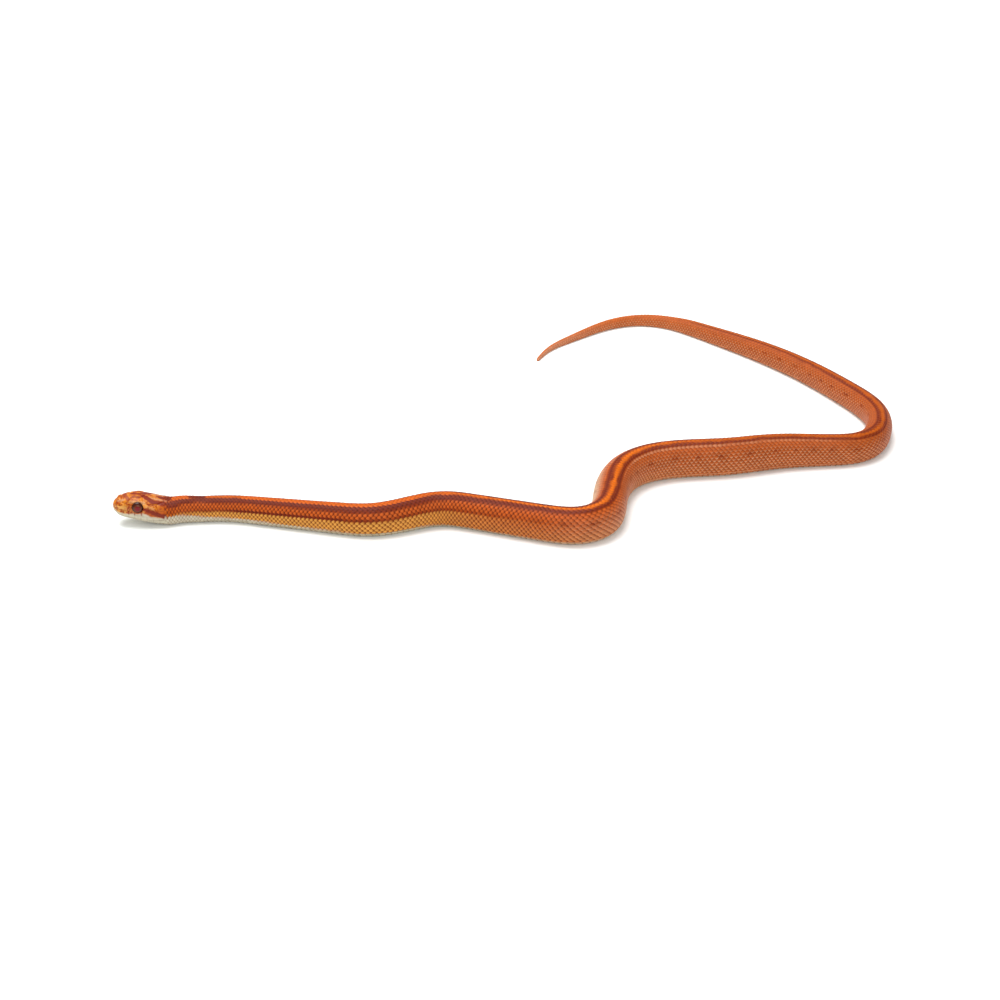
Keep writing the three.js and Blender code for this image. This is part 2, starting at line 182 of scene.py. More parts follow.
@dataclass
class SnakeForm:
    """The bare shape of the animal, the same as that of its solids."""

    total_length: float = 380.0
    snout_x: float = -102.7
    snout_y: float = -55.65
    snout_heading: float = 4.5
    snout_rounding: float = 1.9
    snout_tip_level: float = 5.1
    height_to_width: float = 1.08
    tail_rounding: float = 0.8
    widest_at: float = 0.47
    belly_boxy: float = 2.7
    belly_sink: float = 1.06
    head_blend: tuple[float, ...] = (18.0, 22.5, 25.5)
    step: float = 0.1
    probe_along: float = 0.1
    probe_around: float = 0.6
    probe_from_end: float = 0.12
    bends: tuple[Bend, ...] = (
        Bend(29.5, 9, -17.5),
        Bend(67.5, 10.5, 37),
        Bend(85.5, 9.5, -43),
        Bend(125.5, 15, 104),
        Bend(157.5, 24, -79.5),
        Bend(185, 8, 10),
        Bend(200, 9, -10.5),
        Bend(222.5, 11, 60.5),
        Bend(241, 20, 54),
        Bend(282, 39.5, 17.5),
        Bend(338, 24.5, 85),
        Bend(372, 10, 25.5),
    )
    girth: Table = (
        (16.5, 3.1), (23, 2.9), (45, 3.23), (75, 3.77), (110, 4.04), (150, 4.35), (190, 4.26),
        (215, 3.66), (250, 3.23), (290, 2.74), (322, 1.93), (330, 1.62), (350, 1.21), (368, 0.76),
        (380, 0.38),
    )
    twist_ends: float = 0.7
    twist: Table = (
        (100, 0), (122, 0.015), (133, 0.04), (144, 0.08), (155, 0.045), (166, 0.012), (192, -0.015),
        (212, 0.01), (222, 0.07), (230, 0.115), (237, 0.06), (245, 0.01), (260, 0),
    )
    head: tuple[HeadStation, ...] = (
        HeadStation(0, 2.1, 6.95, 3.4, 2.3),
        HeadStation(2.4, 2.8, 7.55, 2.5, 2.5),
        HeadStation(4.4, 3.2, 7.98, 1.95, 2.6),
        HeadStation(6.6, 3.7, 7.95, 1.4, 2.6),
        HeadStation(9.4, 4.15, 7.3, 0.85, 2.4),
        HeadStation(12.2, 4.2, 6.6, 0.35, 2.2),
        HeadStation(14.4, 3.8, 6.15, 0, 2.1),
    )

    def __post_init__(self) -> None:
        """Lays out the route of the back on the floor and the tables for wrapping the skin."""
        steps = np.arange(self.step / 2, self.total_length + 1, self.step)
        a = self.heading(steps)
        start = [[self.snout_x, self.snout_y]]
        legs = self.step * np.stack([np.cos(a), np.sin(a)], 1)
        self.route = np.concatenate([start, start + np.cumsum(legs, 0)])
        self._table_wrap()

    def heading(self, s: Array) -> Array:
        """Gives the heading of the back towards the tail at s, in radians from +X."""
        degrees = np.full(np.shape(s), float(self.snout_heading))
        for bend in self.bends:
            u = np.clip((s - bend.middle) / bend.half, -1.0, 1.0)
            degrees = degrees + bend.turn / 2 * (1 + u + np.sin(math.pi * u) / math.pi)
        return np.radians(degrees)

    def _head_row(self, key: str, trunk: Callable[[float], float]) -> list[tuple[float, float]]:
        """Lists one of the head's values along s, run on into the trunk's own."""
        rows = [(station.s, getattr(station, key)) for station in self.head]
        return rows + [(s, trunk(s)) for s in self.head_blend]

    def _girth_at(self, s: float) -> float:
        """Gives the trunk's half width at one place."""
        return value_at(self.girth, s)

    def _height_at(self, s: float) -> float:
        """Gives the trunk's height at one place."""
        return 2 * self.height_to_width * self._girth_at(s)

    def section(self, s: Array) -> tuple[Array, Array, Array, Array]:
        """Works out the section at s.

        Args:
            s: Distances from the snout.

        Returns:
            Half width, lowest level, highest level, and how boxy the upper half is.
        """
        s = np.asarray(s, float)
        trunk = smooth_table(self.girth, s)
        ball = np.clip((self.total_length - s) / self.tail_rounding, 0, 1)
        trunk = trunk * np.sqrt(1 - (1 - ball) ** 2)
        half = smooth_table(self._head_row("half", self._girth_at), s)
        crown = smooth_table(self._head_row("crown", self._height_at), s)
        chin = np.maximum(0.0, smooth_table(self._head_row("chin", lambda place: 0.0), s))
        boxy = smooth_table(self._head_row("boxy", lambda place: ROUND), s)
        nose = np.clip(s / self.snout_rounding, 0, 1)
        nose = np.sqrt(1 - (1 - nose) ** 2)
        tip = self.snout_tip_level
        on_trunk = s >= self.head_blend[1]
        return (
            np.where(on_trunk, trunk, half * nose),
            np.where(on_trunk, 0.0, tip + (chin - tip) * nose),
            np.where(on_trunk, 2 * self.height_to_width * trunk, tip + (crown - tip) * nose),
            np.where(on_trunk, ROUND, boxy),
        )

    def profile(self, s: Array, angle: Array) -> tuple[Array, Array]:
        """Gives a skin point in its section's own plane.

        Args:
            s: Distances from the snout.
            angle: Girth angles in degrees.

        Returns:
            How far the point is to the animal's left of the back, and its level.
        """
        half, low, high, boxy = self.section(s)
        widest = low + self.widest_at * (high - low)
        turn = np.radians(angle)
        sin, cos = np.sin(turn), np.cos(turn)
        power = 2 / np.where(cos > 0, boxy, self.belly_boxy)
        left = np.sign(sin) * half * np.abs(sin) ** power
        up = np.abs(cos) ** power
        over = widest + (high - widest) * up
        under = widest - (widest - low) * self.belly_sink * up
        return left, np.maximum(np.where(cos > 0, over, under), low)

    def bare(self, s: Array, angle: Array) -> Array:
        """Places skin points in the frame, in millimetres."""
        left, level = self.profile(s, angle)
        a = self.heading(s)
        at = np.clip(np.asarray(s, float) / self.step, 0, len(self.route) - 1.001)
        i = at.astype(int)
        t = (at - i)[..., None]
        foot = self.route[i] * (1 - t) + self.route[i + 1] * t
        return np.stack([foot[..., 0] + left * np.sin(a), foot[..., 1] - left * np.cos(a), level], -1)

    def _table_wrap(self) -> None:
        """Tables the girth angle against the wrap, and the skin's length round, at stations along s."""
        self.stations = np.concatenate([np.arange(0.05, 24, 0.25), np.arange(24, self.total_length, 2.0)])
        angles = np.linspace(0, 180, 721)
        left, level = self.profile(self.stations[:, None], angles[None, :])
        legs = np.hypot(np.diff(left, axis=1), np.diff(level, axis=1))
        run = np.concatenate([np.zeros((len(self.stations), 1)), np.cumsum(legs, 1)], 1)
        self.half_round = run[:, -1]
        self.wraps = np.linspace(0, 1, 361)
        self.angle_table = np.stack([np.interp(self.wraps, r / r[-1], angles) for r in run])

    def round_length(self, s: Array) -> Array:
        """Gives the length of skin from the back's middle to the belly's middle."""
        return np.interp(s, self.stations, self.half_round)

    def angle_at(self, s: Array, wrap: Array) -> Array:
        """Turns a wrap into a girth angle in degrees."""
        s, wrap = np.broadcast_arrays(np.asarray(s, float), np.asarray(wrap, float))
        row = np.interp(s, self.stations, np.arange(len(self.stations)))
        i = np.clip(row.astype(int), 0, len(self.stations) - 2)
        column = np.clip(np.abs(wrap), 0, 1) * (len(self.wraps) - 1)
        j = np.clip(column.astype(int), 0, len(self.wraps) - 2)
        fi, fj = row - i, column - j
        near = self.angle_table[i, j] * (1 - fj) + self.angle_table[i, j + 1] * fj
        far = self.angle_table[i + 1, j] * (1 - fj) + self.angle_table[i + 1, j + 1] * fj
        return np.sign(wrap) * (near * (1 - fi) + far * fi)

    def wrap_of(self, s: float, angle: Array) -> Array:
        """Turns girth angles into wraps, on the section at one place."""
        row = int(np.argmin(np.abs(self.stations - s)))
        return np.sign(angle) * np.interp(np.abs(angle), self.angle_table[row], self.wraps)

    def twisted(self, s: Array, wrap: Array) -> Array:
        """Carries wraps round with the twist of the back, which dies out at the belly."""
        return wrap + smooth_table(self.twist, s) * np.clip(1 - np.abs(wrap) / self.twist_ends, 0, 1)

    def untwisted(self, s: Array, wrap: Array) -> Array:
        """Takes the twist of the back out of wraps."""
        twist = smooth_table(self.twist, s)
        off = wrap - twist
        inner = off / (1 - np.sign(off) * twist / self.twist_ends)
        return np.where(np.abs(wrap) < self.twist_ends, inner, wrap)

    def point(self, s: Array, wrap: Array, lift: Array | float = 0.0) -> Array:
        """Places points of the skin, or above it by a lift, in millimetres."""
        return self.lifted(s, self.angle_at(s, wrap), lift)

    def lifted(self, s: Array, angle: Array, lift: Array | float) -> Array:
        """Places points given by girth angle, raised off the bare skin along its normal."""
        s, angle = np.broadcast_arrays(np.asarray(s, float), np.asarray(angle, float))
        here = self.bare(s, angle)
        normal = self.normal(s, angle)
        return here + normal * np.asarray(lift, float)[..., None]

    def normal(self, s: Array, angle: Array) -> Array:
        """Gives the bare skin's outward normal."""
        on, round_by = self.probe_along, self.probe_around
        back = np.clip(s, self.probe_from_end, self.total_length - self.probe_from_end)
        along = self.bare(back + on, angle) - self.bare(back - on, angle)
        around = self.bare(back, angle + round_by) - self.bare(back, angle - round_by)
        normal = np.cross(around, along)
        length = np.linalg.norm(normal, axis=-1, keepdims=True)
        return normal / np.maximum(length, 1e-9)


@dataclass
class Unwrap:
    """The flat layout of the skin: the body is cut into strips, laid one above another in the square."""

    total_length: float
    strips: int = 6
    margin: float = 0.004
    patch_share: float = 0.86
    smallest_patch: float = 0.003

    def strip_of(self, s: Array) -> Array:
        """Says which strip a place falls in."""
        each = self.total_length / self.strips
        return np.clip((np.asarray(s) / each).astype(int), 0, self.strips - 1)

    def place(self, s: Array, wrap: Array, strip: Array) -> Array:
        """Places points in the square.

        Args:
            s: Distances from the snout.
            wrap: Shares of the way round.
            strip: The strip that each point is drawn in.

        Returns:
            The points' coordinates in the square.
        """
        each = self.total_length / self.strips
        u = (np.asarray(s) - strip * each) / each
        v = (strip + 0.5 + 0.5 * np.asarray(wrap)) / self.strips
        u = self.margin + (1 - 2 * self.margin) * np.clip(u, 0, 1)
        inner = 1 - 2 * self.margin
        low = strip / self.strips + self.margin / self.strips
        high = (strip + 1) / self.strips - self.margin / self.strips
        return np.stack([u, np.clip(self.margin / 2 + inner * v, low, high)], -1)


@dataclass
class MeshDraft:
    """A mesh in the making: points, faces of one size after another, and values that its finish reads."""

    points: list[Array] = field(default_factory=list)
    faces: list[Array] = field(default_factory=list)
    places: list[Array] = field(default_factory=list)
    values: dict[str, list[Array]] = field(default_factory=dict)
    count: int = 0

    def add(self, points: Array, values: dict[str, Array]) -> int:
        """Adds points and their values, and returns the first one's number."""
        first = self.count
        self.points.append(points.reshape(-1, 3))
        self.count += len(self.points[-1])
        for name, value in values.items():
            self.values.setdefault(name, []).append(np.asarray(value, float).reshape(-1))
        return first

    def face(self, faces: Array, places: Array) -> None:
        """Adds faces of one size, each corner with its place in the flat layout."""
        self.faces.append(faces)
        self.places.append(places.reshape(-1, 2))

    def build(self, name: str, shade_smooth: bool = True) -> bpy.types.Object:
        """Makes the object.

        Args:
            name: The object's name.
            shade_smooth: Whether light runs smoothly over its faces.

        Returns:
            The new object, in the scene.
        """
        mesh = bpy.data.meshes.new(name)
        points = np.concatenate(self.points) * MM
        mesh.vertices.add(len(points))
        mesh.vertices.foreach_set("co", points.astype(np.float32).ravel())
        corners = np.concatenate([f.ravel() for f in self.faces]).astype(np.int32)
        sizes = np.concatenate([np.full(len(f), f.shape[1]) for f in self.faces]).astype(np.int32)
        mesh.loops.add(len(corners))
        mesh.loops.foreach_set("vertex_index", corners)
        mesh.polygons.add(len(sizes))
        starts = np.concatenate([[0], np.cumsum(sizes)[:-1]]).astype(np.int32)
        mesh.polygons.foreach_set("loop_start", starts)
        mesh.polygons.foreach_set("loop_total", sizes)
        mesh.polygons.foreach_set("use_smooth", np.full(len(sizes), shade_smooth))
        layer = mesh.uv_layers.new(name="OFBake")
        layer.uv.foreach_set("vector", np.concatenate(self.places).astype(np.float32).ravel())
        for label, parts in self.values.items():
            attribute = mesh.attributes.new(label, "FLOAT", "POINT")
            attribute.data.foreach_set("value", np.concatenate(parts).astype(np.float32))
        mesh.update()
        mesh.validate()
        return put_in_scene(name, mesh)


def grid_faces(rows: int, columns: int, first: int = 0, closed: bool = False) -> Array:
    """Numbers the quads of a grid of points, row after row, seen from outside.

    Args:
        rows: How many rows of points there are.
        columns: How many points a row has.
        first: The first point's number.
        closed: Whether each row runs round to its own start.

    Returns:
        One row of four point numbers for each quad.
    """
    across = columns if closed else columns - 1
    r, c = np.meshgrid(np.arange(rows - 1), np.arange(across), indexing="ij")
    d = (c + 1) % columns
    quads = np.stack([r * columns + c, r * columns + d, (r + 1) * columns + d, (r + 1) * columns + c], -1)
    return first + quads.reshape(-1, 4)


@dataclass(frozen=True)
class PlateGrid:
    """The grid of points that a scale or scute is drawn on, root first, and the faces of its closed shell."""

    lines: int
    columns: int

    @property
    def each(self) -> int:
        """How many points a plate's top has."""
        return self.lines * self.columns

    def ring(self) -> Array:
        """Lists the rim: down the first side from the root, along the tip, up the other side, and back."""
        first = np.arange(self.lines) * self.columns
        tip = (self.lines - 1) * self.columns + np.arange(1, self.columns)
        other = np.arange(self.lines - 2, -1, -1) * self.columns + self.columns - 1
        root = np.arange(self.columns - 2, 0, -1)
        return np.concatenate([first, tip, other, root])

    def underside(self) -> list[Array]:
        """Lists the faces under a plate, by their places in the ring: strips from the root to the tip."""
        size = 2 * (self.lines + self.columns) - 4
        tip = self.lines - 1
        inner = np.arange(1, self.columns - 2)
        strips = np.stack([size - inner, tip + inner, tip + inner + 1, size - inner - 1], 1)
        first = np.concatenate([np.arange(tip + 2), [size - 1]])
        last = np.arange(tip + self.columns - 1, 2 * tip + self.columns)
        last = np.concatenate([[size - self.columns + 2, tip + self.columns - 2], last])
        return [strips, first[None, :], last[None, :]]

    def add(
        self,
        draft: MeshDraft,
        tops: Array,
        lows: Array,
        values: dict[str, Array],
        places: Array,
        flipped: bool = False,
    ) -> None:
        """Adds closed thin plates to a mesh.

        Args:
            draft: The mesh in the making.
            tops: The points of the plates' tops, one block of lines and columns for each plate.
            lows: The same points, lowered to the plates' undersides.
            values: The values that the finish reads, for each point of the tops.
            places: The points' places in the flat layout.
            flipped: Whether the columns run the other way round the body.
        """
        count, ring = len(tops), self.ring()
        flat = {name: value.reshape(count, self.each) for name, value in values.items()}
        places = places.reshape(count, self.each, 2)
        first = draft.add(tops, flat)
        low = draft.add(
            lows.reshape(count, self.each, 3)[:, ring],
            {name: value[:, ring] for name, value in flat.items()},
        )
        upper_start = first + np.arange(count)[:, None, None] * self.each
        lower_start = low + np.arange(count)[:, None, None] * len(ring)
        top = grid_faces(self.lines, self.columns)
        i = np.arange(len(ring))
        j = (i + 1) % len(ring)
        wall = np.concatenate(
            [upper_start + np.stack([ring[i], ring[j]], 1), lower_start + np.stack([j, i], 1)], -1
        )
        blocks = [(upper_start + top, places[:, top]), (wall, places[:, ring][:, np.stack([i, j, j, i], 1)])]
        blocks += [(lower_start + f, places[:, ring][:, f]) for f in self.underside()]
        for faces, at in blocks:
            if flipped:
                faces, at = faces[..., ::-1], at[..., ::-1, :]
            draft.face(faces.reshape(-1, faces.shape[-1]), at)


def away_from_edges(s: Array, across: Array, outline: Array) -> Array:
    """Measures how deep points lie inside a closed outline, negative outside it.

    Args:
        s: The points' places along the head.
        across: The points' places across it, in like units.
        outline: The outline's corners, in order.

    Returns:
        The distance to the nearest edge, with its sign.
    """
    nearest = np.full(s.shape, 1e9)
    inside = np.zeros(s.shape, bool)
    for (x0, y0), (x1, y1) in zip(outline, np.roll(outline, -1, 0)):
        dx, dy = x1 - x0, y1 - y0
        t = np.clip(((s - x0) * dx + (across - y0) * dy) / (dx * dx + dy * dy), 0, 1)
        nearest = np.minimum(nearest, np.hypot(s - x0 - t * dx, across - y0 - t * dy))
        crosses = (y0 > across) != (y1 > across)
        where = x0 + (across - y0) / (dy if abs(dy) > 1e-9 else 1e-9) * dx
        inside ^= crosses & (s < where)
    return np.where(inside, nearest, -nearest)


class Side(Enum):
    """A side of the animal, with the sign that its wraps and angles take."""

    LEFT = 1
    RIGHT = -1


@dataclass
class HeadRelief:
    """The forms of the head's skin: its plates, mouth, nostrils and eye sockets, as a height map.

    An outline's corners are a distance s and a girth angle on the left side.
    """

    form: SnakeForm
    plate_rise: float = 0.085
    suture_depth: float = 0.09
    suture_width: float = 0.085
    round_over: float = 0.42
    ends_at: float = 13.6
    flat_at: float = 8.5
    narrowest: float = 0.55
    broadest: float = 1.2
    mouth_corner: float = 13.4
    mouth_groove: float = 0.30
    mouth_width: float = 0.11
    lip_plates: int = 8
    lips_from: float = 0.95
    eye_s: float = 6.5
    eye_angle: float = 74.5
    eye_half_length: float = 1.5
    eye_half_height: float = 1.32
    socket_depth: float = 0.75
    eye_rim: Ridge = Ridge(0.12, 1.12, 0.14)
    brow: Ridge = Ridge(0.08, 1.25, 0.25)
    upper_lip: Ridge = Ridge(0.12, 0.32, 0.26)
    lower_lip: Ridge = Ridge(0.05, -0.3, 0.22)
    lip_height: float = 1.15
    lip_lowest: float = 152.0
    under_lip: float = 0.10
    nostril_s: float = 2.05
    nostril_angle: float = 66.0
    nostril_size: float = 0.3
    nostril_depth: float = 0.38
    nostril_height: float = 0.75
    nostril_rim: Ridge = Ridge(0.05, 1.3, 0.3)
    eye_down_to: float = 118.0
    nostril_down_to: float = 95.0
    mouth_down_to: float = 150.0
    relief_ends: float = 22.0
    plain_below: float = 0.35
    mouth: Table = ((0, 3.95), (2, 3.45), (5, 2.85), (8, 2.4), (11, 2.2), (13.4, 2.35))
    lip_top: Table = ((0, 88), (4.6, 92), (6.5, 104), (8.3, 96), (13.4, 95))

    def crown_outlines(self) -> list[list[tuple[float, float]]]:
        """Lists the outlines of the plates that lie across the midline."""
        return [
            [(4.35, 0), (4.5, 25), (6.4, 19), (7.7, 13.5), (8.5, 0), (7.7, -13.5), (6.4, -19), (4.5, -25)],
        ]

    def paired_outlines(self) -> list[list[tuple[float, float]]]:
        """Lists the left plates of the crown, snout and temples."""
        return [
            [(1.2, 0), (1.15, 38), (2.2, 43), (2.55, 0)],
            [(2.55, 0), (2.2, 43), (3.2, 58), (4.3, 54), (4.5, 25), (4.35, 0)],
            [(4.5, 25), (4.3, 54), (5.3, 57), (7.6, 55), (8.0, 47), (7.7, 13.5), (6.4, 19)],
            [(8.5, 0), (7.7, 13.5), (8.0, 47), (9.6, 49), (11.4, 40), (12.9, 22), (13.2, 0)],
            [(1.15, 38), (0.9, 86), (1.95, 88), (3.2, 88), (3.2, 58), (2.2, 43)],
            [(3.2, 58), (3.2, 88), (4.25, 91), (4.3, 54)],
            [(4.3, 54), (4.25, 91), (5.0, 94), (5.3, 57)],
            [(8.0, 47), (7.9, 71), (9.2, 71), (9.6, 49)],
            [(7.9, 71), (7.7, 98), (9.2, 96), (9.2, 71)],
            [(9.6, 49), (9.2, 71), (11.3, 71), (11.4, 40)],
            [(9.2, 71), (9.2, 96), (11.3, 95), (11.3, 71)],
            [(11.4, 40), (11.3, 68), (13.3, 66), (13.4, 30), (12.9, 22)],
            [(11.3, 68), (11.3, 95), (13.4, 95), (13.3, 66)],
        ]

    def chin_outlines(self) -> list[list[tuple[float, float]]]:
        """Lists the left plates under the chin."""
        return [
            [(1.2, 180), (1.5, 158), (4.9, 156), (5.1, 180)],
            [(5.1, 180), (4.9, 156), (8.6, 158), (8.8, 180)],
        ]

    def angle_at_level(self, s: float, level: float) -> float:
        """Finds the girth angle on the lower flank where the skin has a level."""
        angles = np.linspace(60, 178, 400)
        _, levels = self.form.profile(np.full(400, s), angles)
        return float(np.interp(-level, -levels, angles))

    def lip_angle(self, s: float, above: float) -> float:
        """Gives the girth angle at a height above the line of the mouth."""
        return self.angle_at_level(s, value_at(self.mouth, s) + above)

    def lip_outlines(self) -> list[list[tuple[float, float]]]:
        """Lists the left plates of both lips, from the snout to the mouth's corner."""
        width = (self.mouth_corner - self.lips_from) / self.lip_plates
        made = []
        for i in range(self.lip_plates):
            a, b = self.lips_from + i * width, self.lips_from + (i + 1) * width
            top_a, top_b = value_at(self.lip_top, a), value_at(self.lip_top, b)
            line_a, line_b = self.lip_angle(a, 0.0), self.lip_angle(b, 0.0)
            low_a, low_b = (
                min(self.lip_angle(end, -self.lip_height), self.lip_lowest) for end in (a, b)
            )
            made.append([(a, top_a), (a, line_a), (b, line_b), (b, top_b)])
            made.append([(a, line_a), (a, low_a), (b, low_b), (b, line_b)])
        return made

    def flat(self, s: Array, angle: Array) -> tuple[Array, Array]:
        """Turns places into millimetres along and across, on one fixed scale for the whole head."""
        full = float(self.form.round_length(np.array(self.flat_at)))
        narrow = self.form.round_length(np.asarray(s)) / full
        across = self.form.wrap_of(self.flat_at, angle) * full
        return s, across * np.clip(narrow, self.narrowest, self.broadest)

    def plates(self, s: Array, angle: Array) -> tuple[Array, Array]:
        """Works out the raised plates.

        Args:
            s: Distances from the snout.
            angle: Girth angles in degrees.

        Returns:
            The height they add, and how near each point is to a plate's edge, from 0 to 1.
        """
        x, y = self.flat(s, angle)
        depth = np.full(x.shape, -1.0)
        halves = self.paired_outlines() + self.lip_outlines() + self.chin_outlines()
        outlines = [(o, Side.LEFT) for o in self.crown_outlines()]
        outlines += [(o, side) for o in halves for side in Side]
        for corners, side in outlines:
            cs = np.array([c[0] for c in corners])
            ca = np.array([c[1] for c in corners], float) * side.value
            fx, fy = self.flat(cs, ca)
            near = (x > fx.min() - 0.1) & (x < fx.max() + 0.1) & (y > fy.min() - 0.1) & (y < fy.max() + 0.1)
            if near.any():
                found = away_from_edges(x[near], y[near], np.stack([fx, fy], 1))
                depth[near] = np.maximum(depth[near], found)
        crest = 1 - (1 - np.clip(depth / self.round_over, 0, 1)) ** 2
        seam = np.exp(-((np.maximum(depth, 0) / self.suture_width) ** 2))
        fade = 1 - ease(s, self.ends_at - 0.6, self.ends_at)
        fade = fade * ease(s, 0.3, 1.0)
        return (self.plate_rise * crest - self.suture_depth * seam) * fade, seam * fade

    def mouth_line(self, s: Array, angle: Array) -> tuple[Array, Array]:
        """Works out the line of the shut mouth.

        Args:
            s: Distances from the snout.
            angle: Girth angles in degrees.

        Returns:
            The height it adds, and how near each point is to it, from 0 to 1.
        """
        _, level = self.form.profile(s, angle)
        gap = level - smooth_table(self.mouth, s)
        fade = 1 - ease(s, self.mouth_corner - 0.5, self.mouth_corner)
        fade = fade * (np.abs(angle) < self.mouth_down_to)
        line = np.exp(-((gap / self.mouth_width) ** 2)) * fade
        lips = self.upper_lip.at(gap) + self.lower_lip.at(gap)
        under = -self.under_lip * ease(-gap, 0.0, 0.15) * ease(gap, -1.6, -0.4)
        return (lips + under) * fade - self.mouth_groove * line, line

    def level_over(self, s: Array, angle: Array, middle_s: float, middle_angle: float) -> Array:
        """Measures how far points are above a place on the flank, such as an eye's middle."""
        _, level = self.form.profile(s, angle)
        _, middle = self.form.profile(np.array(middle_s), np.array(middle_angle))
        return level - middle

    def eye_reach(self, s: Array, angle: Array) -> Array:
        """Measures how far points are from an eye's middle, where 1 is the rim of its socket."""
        above = self.level_over(s, angle, self.eye_s, self.eye_angle)
        reach = np.hypot((s - self.eye_s) / self.eye_half_length, above / self.eye_half_height)
        return np.where(np.abs(angle) < self.eye_down_to, reach, OUT_OF_REACH)

    def sockets(self, s: Array, angle: Array) -> Array:
        """Works out the sockets of the eyes and the raised rims round them."""
        reach = self.eye_reach(s, angle)
        bowl = -self.socket_depth * (1 - ease(reach, 0.82, 1.0))
        above = self.level_over(s, angle, self.eye_s, self.eye_angle)
        return bowl + self.eye_rim.at(reach) + self.brow.at(reach) * ease(above, 0.3, 1.5)

    def nostrils(self, s: Array, angle: Array) -> Array:
        """Works out the pits of the nostrils."""
        above = self.level_over(s, angle, self.nostril_s, self.nostril_angle)
        along = (s - self.nostril_s) / self.nostril_size
        reach = np.hypot(along, above / (self.nostril_height * self.nostril_size))
        reach = np.where(np.abs(angle) < self.nostril_down_to, reach, OUT_OF_REACH)
        return self.nostril_rim.at(reach) - self.nostril_depth * np.exp(-(reach**2))

    def heights(self, s: Array, angle: Array) -> dict[str, Array]:
        """Adds up the relief.

        Args:
            s: Distances from the snout.
            angle: Girth angles in degrees.

        Returns:
            The whole height, with the nearness to seams and to the line of the mouth.
        """
        plates, seam = self.plates(s, angle)
        mouth, line = self.mouth_line(s, angle)
        open_skin = ease(self.eye_reach(s, angle), 0.95, 1.1)
        height = plates * open_skin + mouth + self.sockets(s, angle) + self.nostrils(s, angle)
        _, level = self.form.profile(s, angle)
        height = np.where(s < self.relief_ends, height, 0.0)
        height = np.where(level < self.plain_below, np.minimum(height, 0.0), height)
        return {"height": height, "seam": seam * open_skin, "mouth": line}


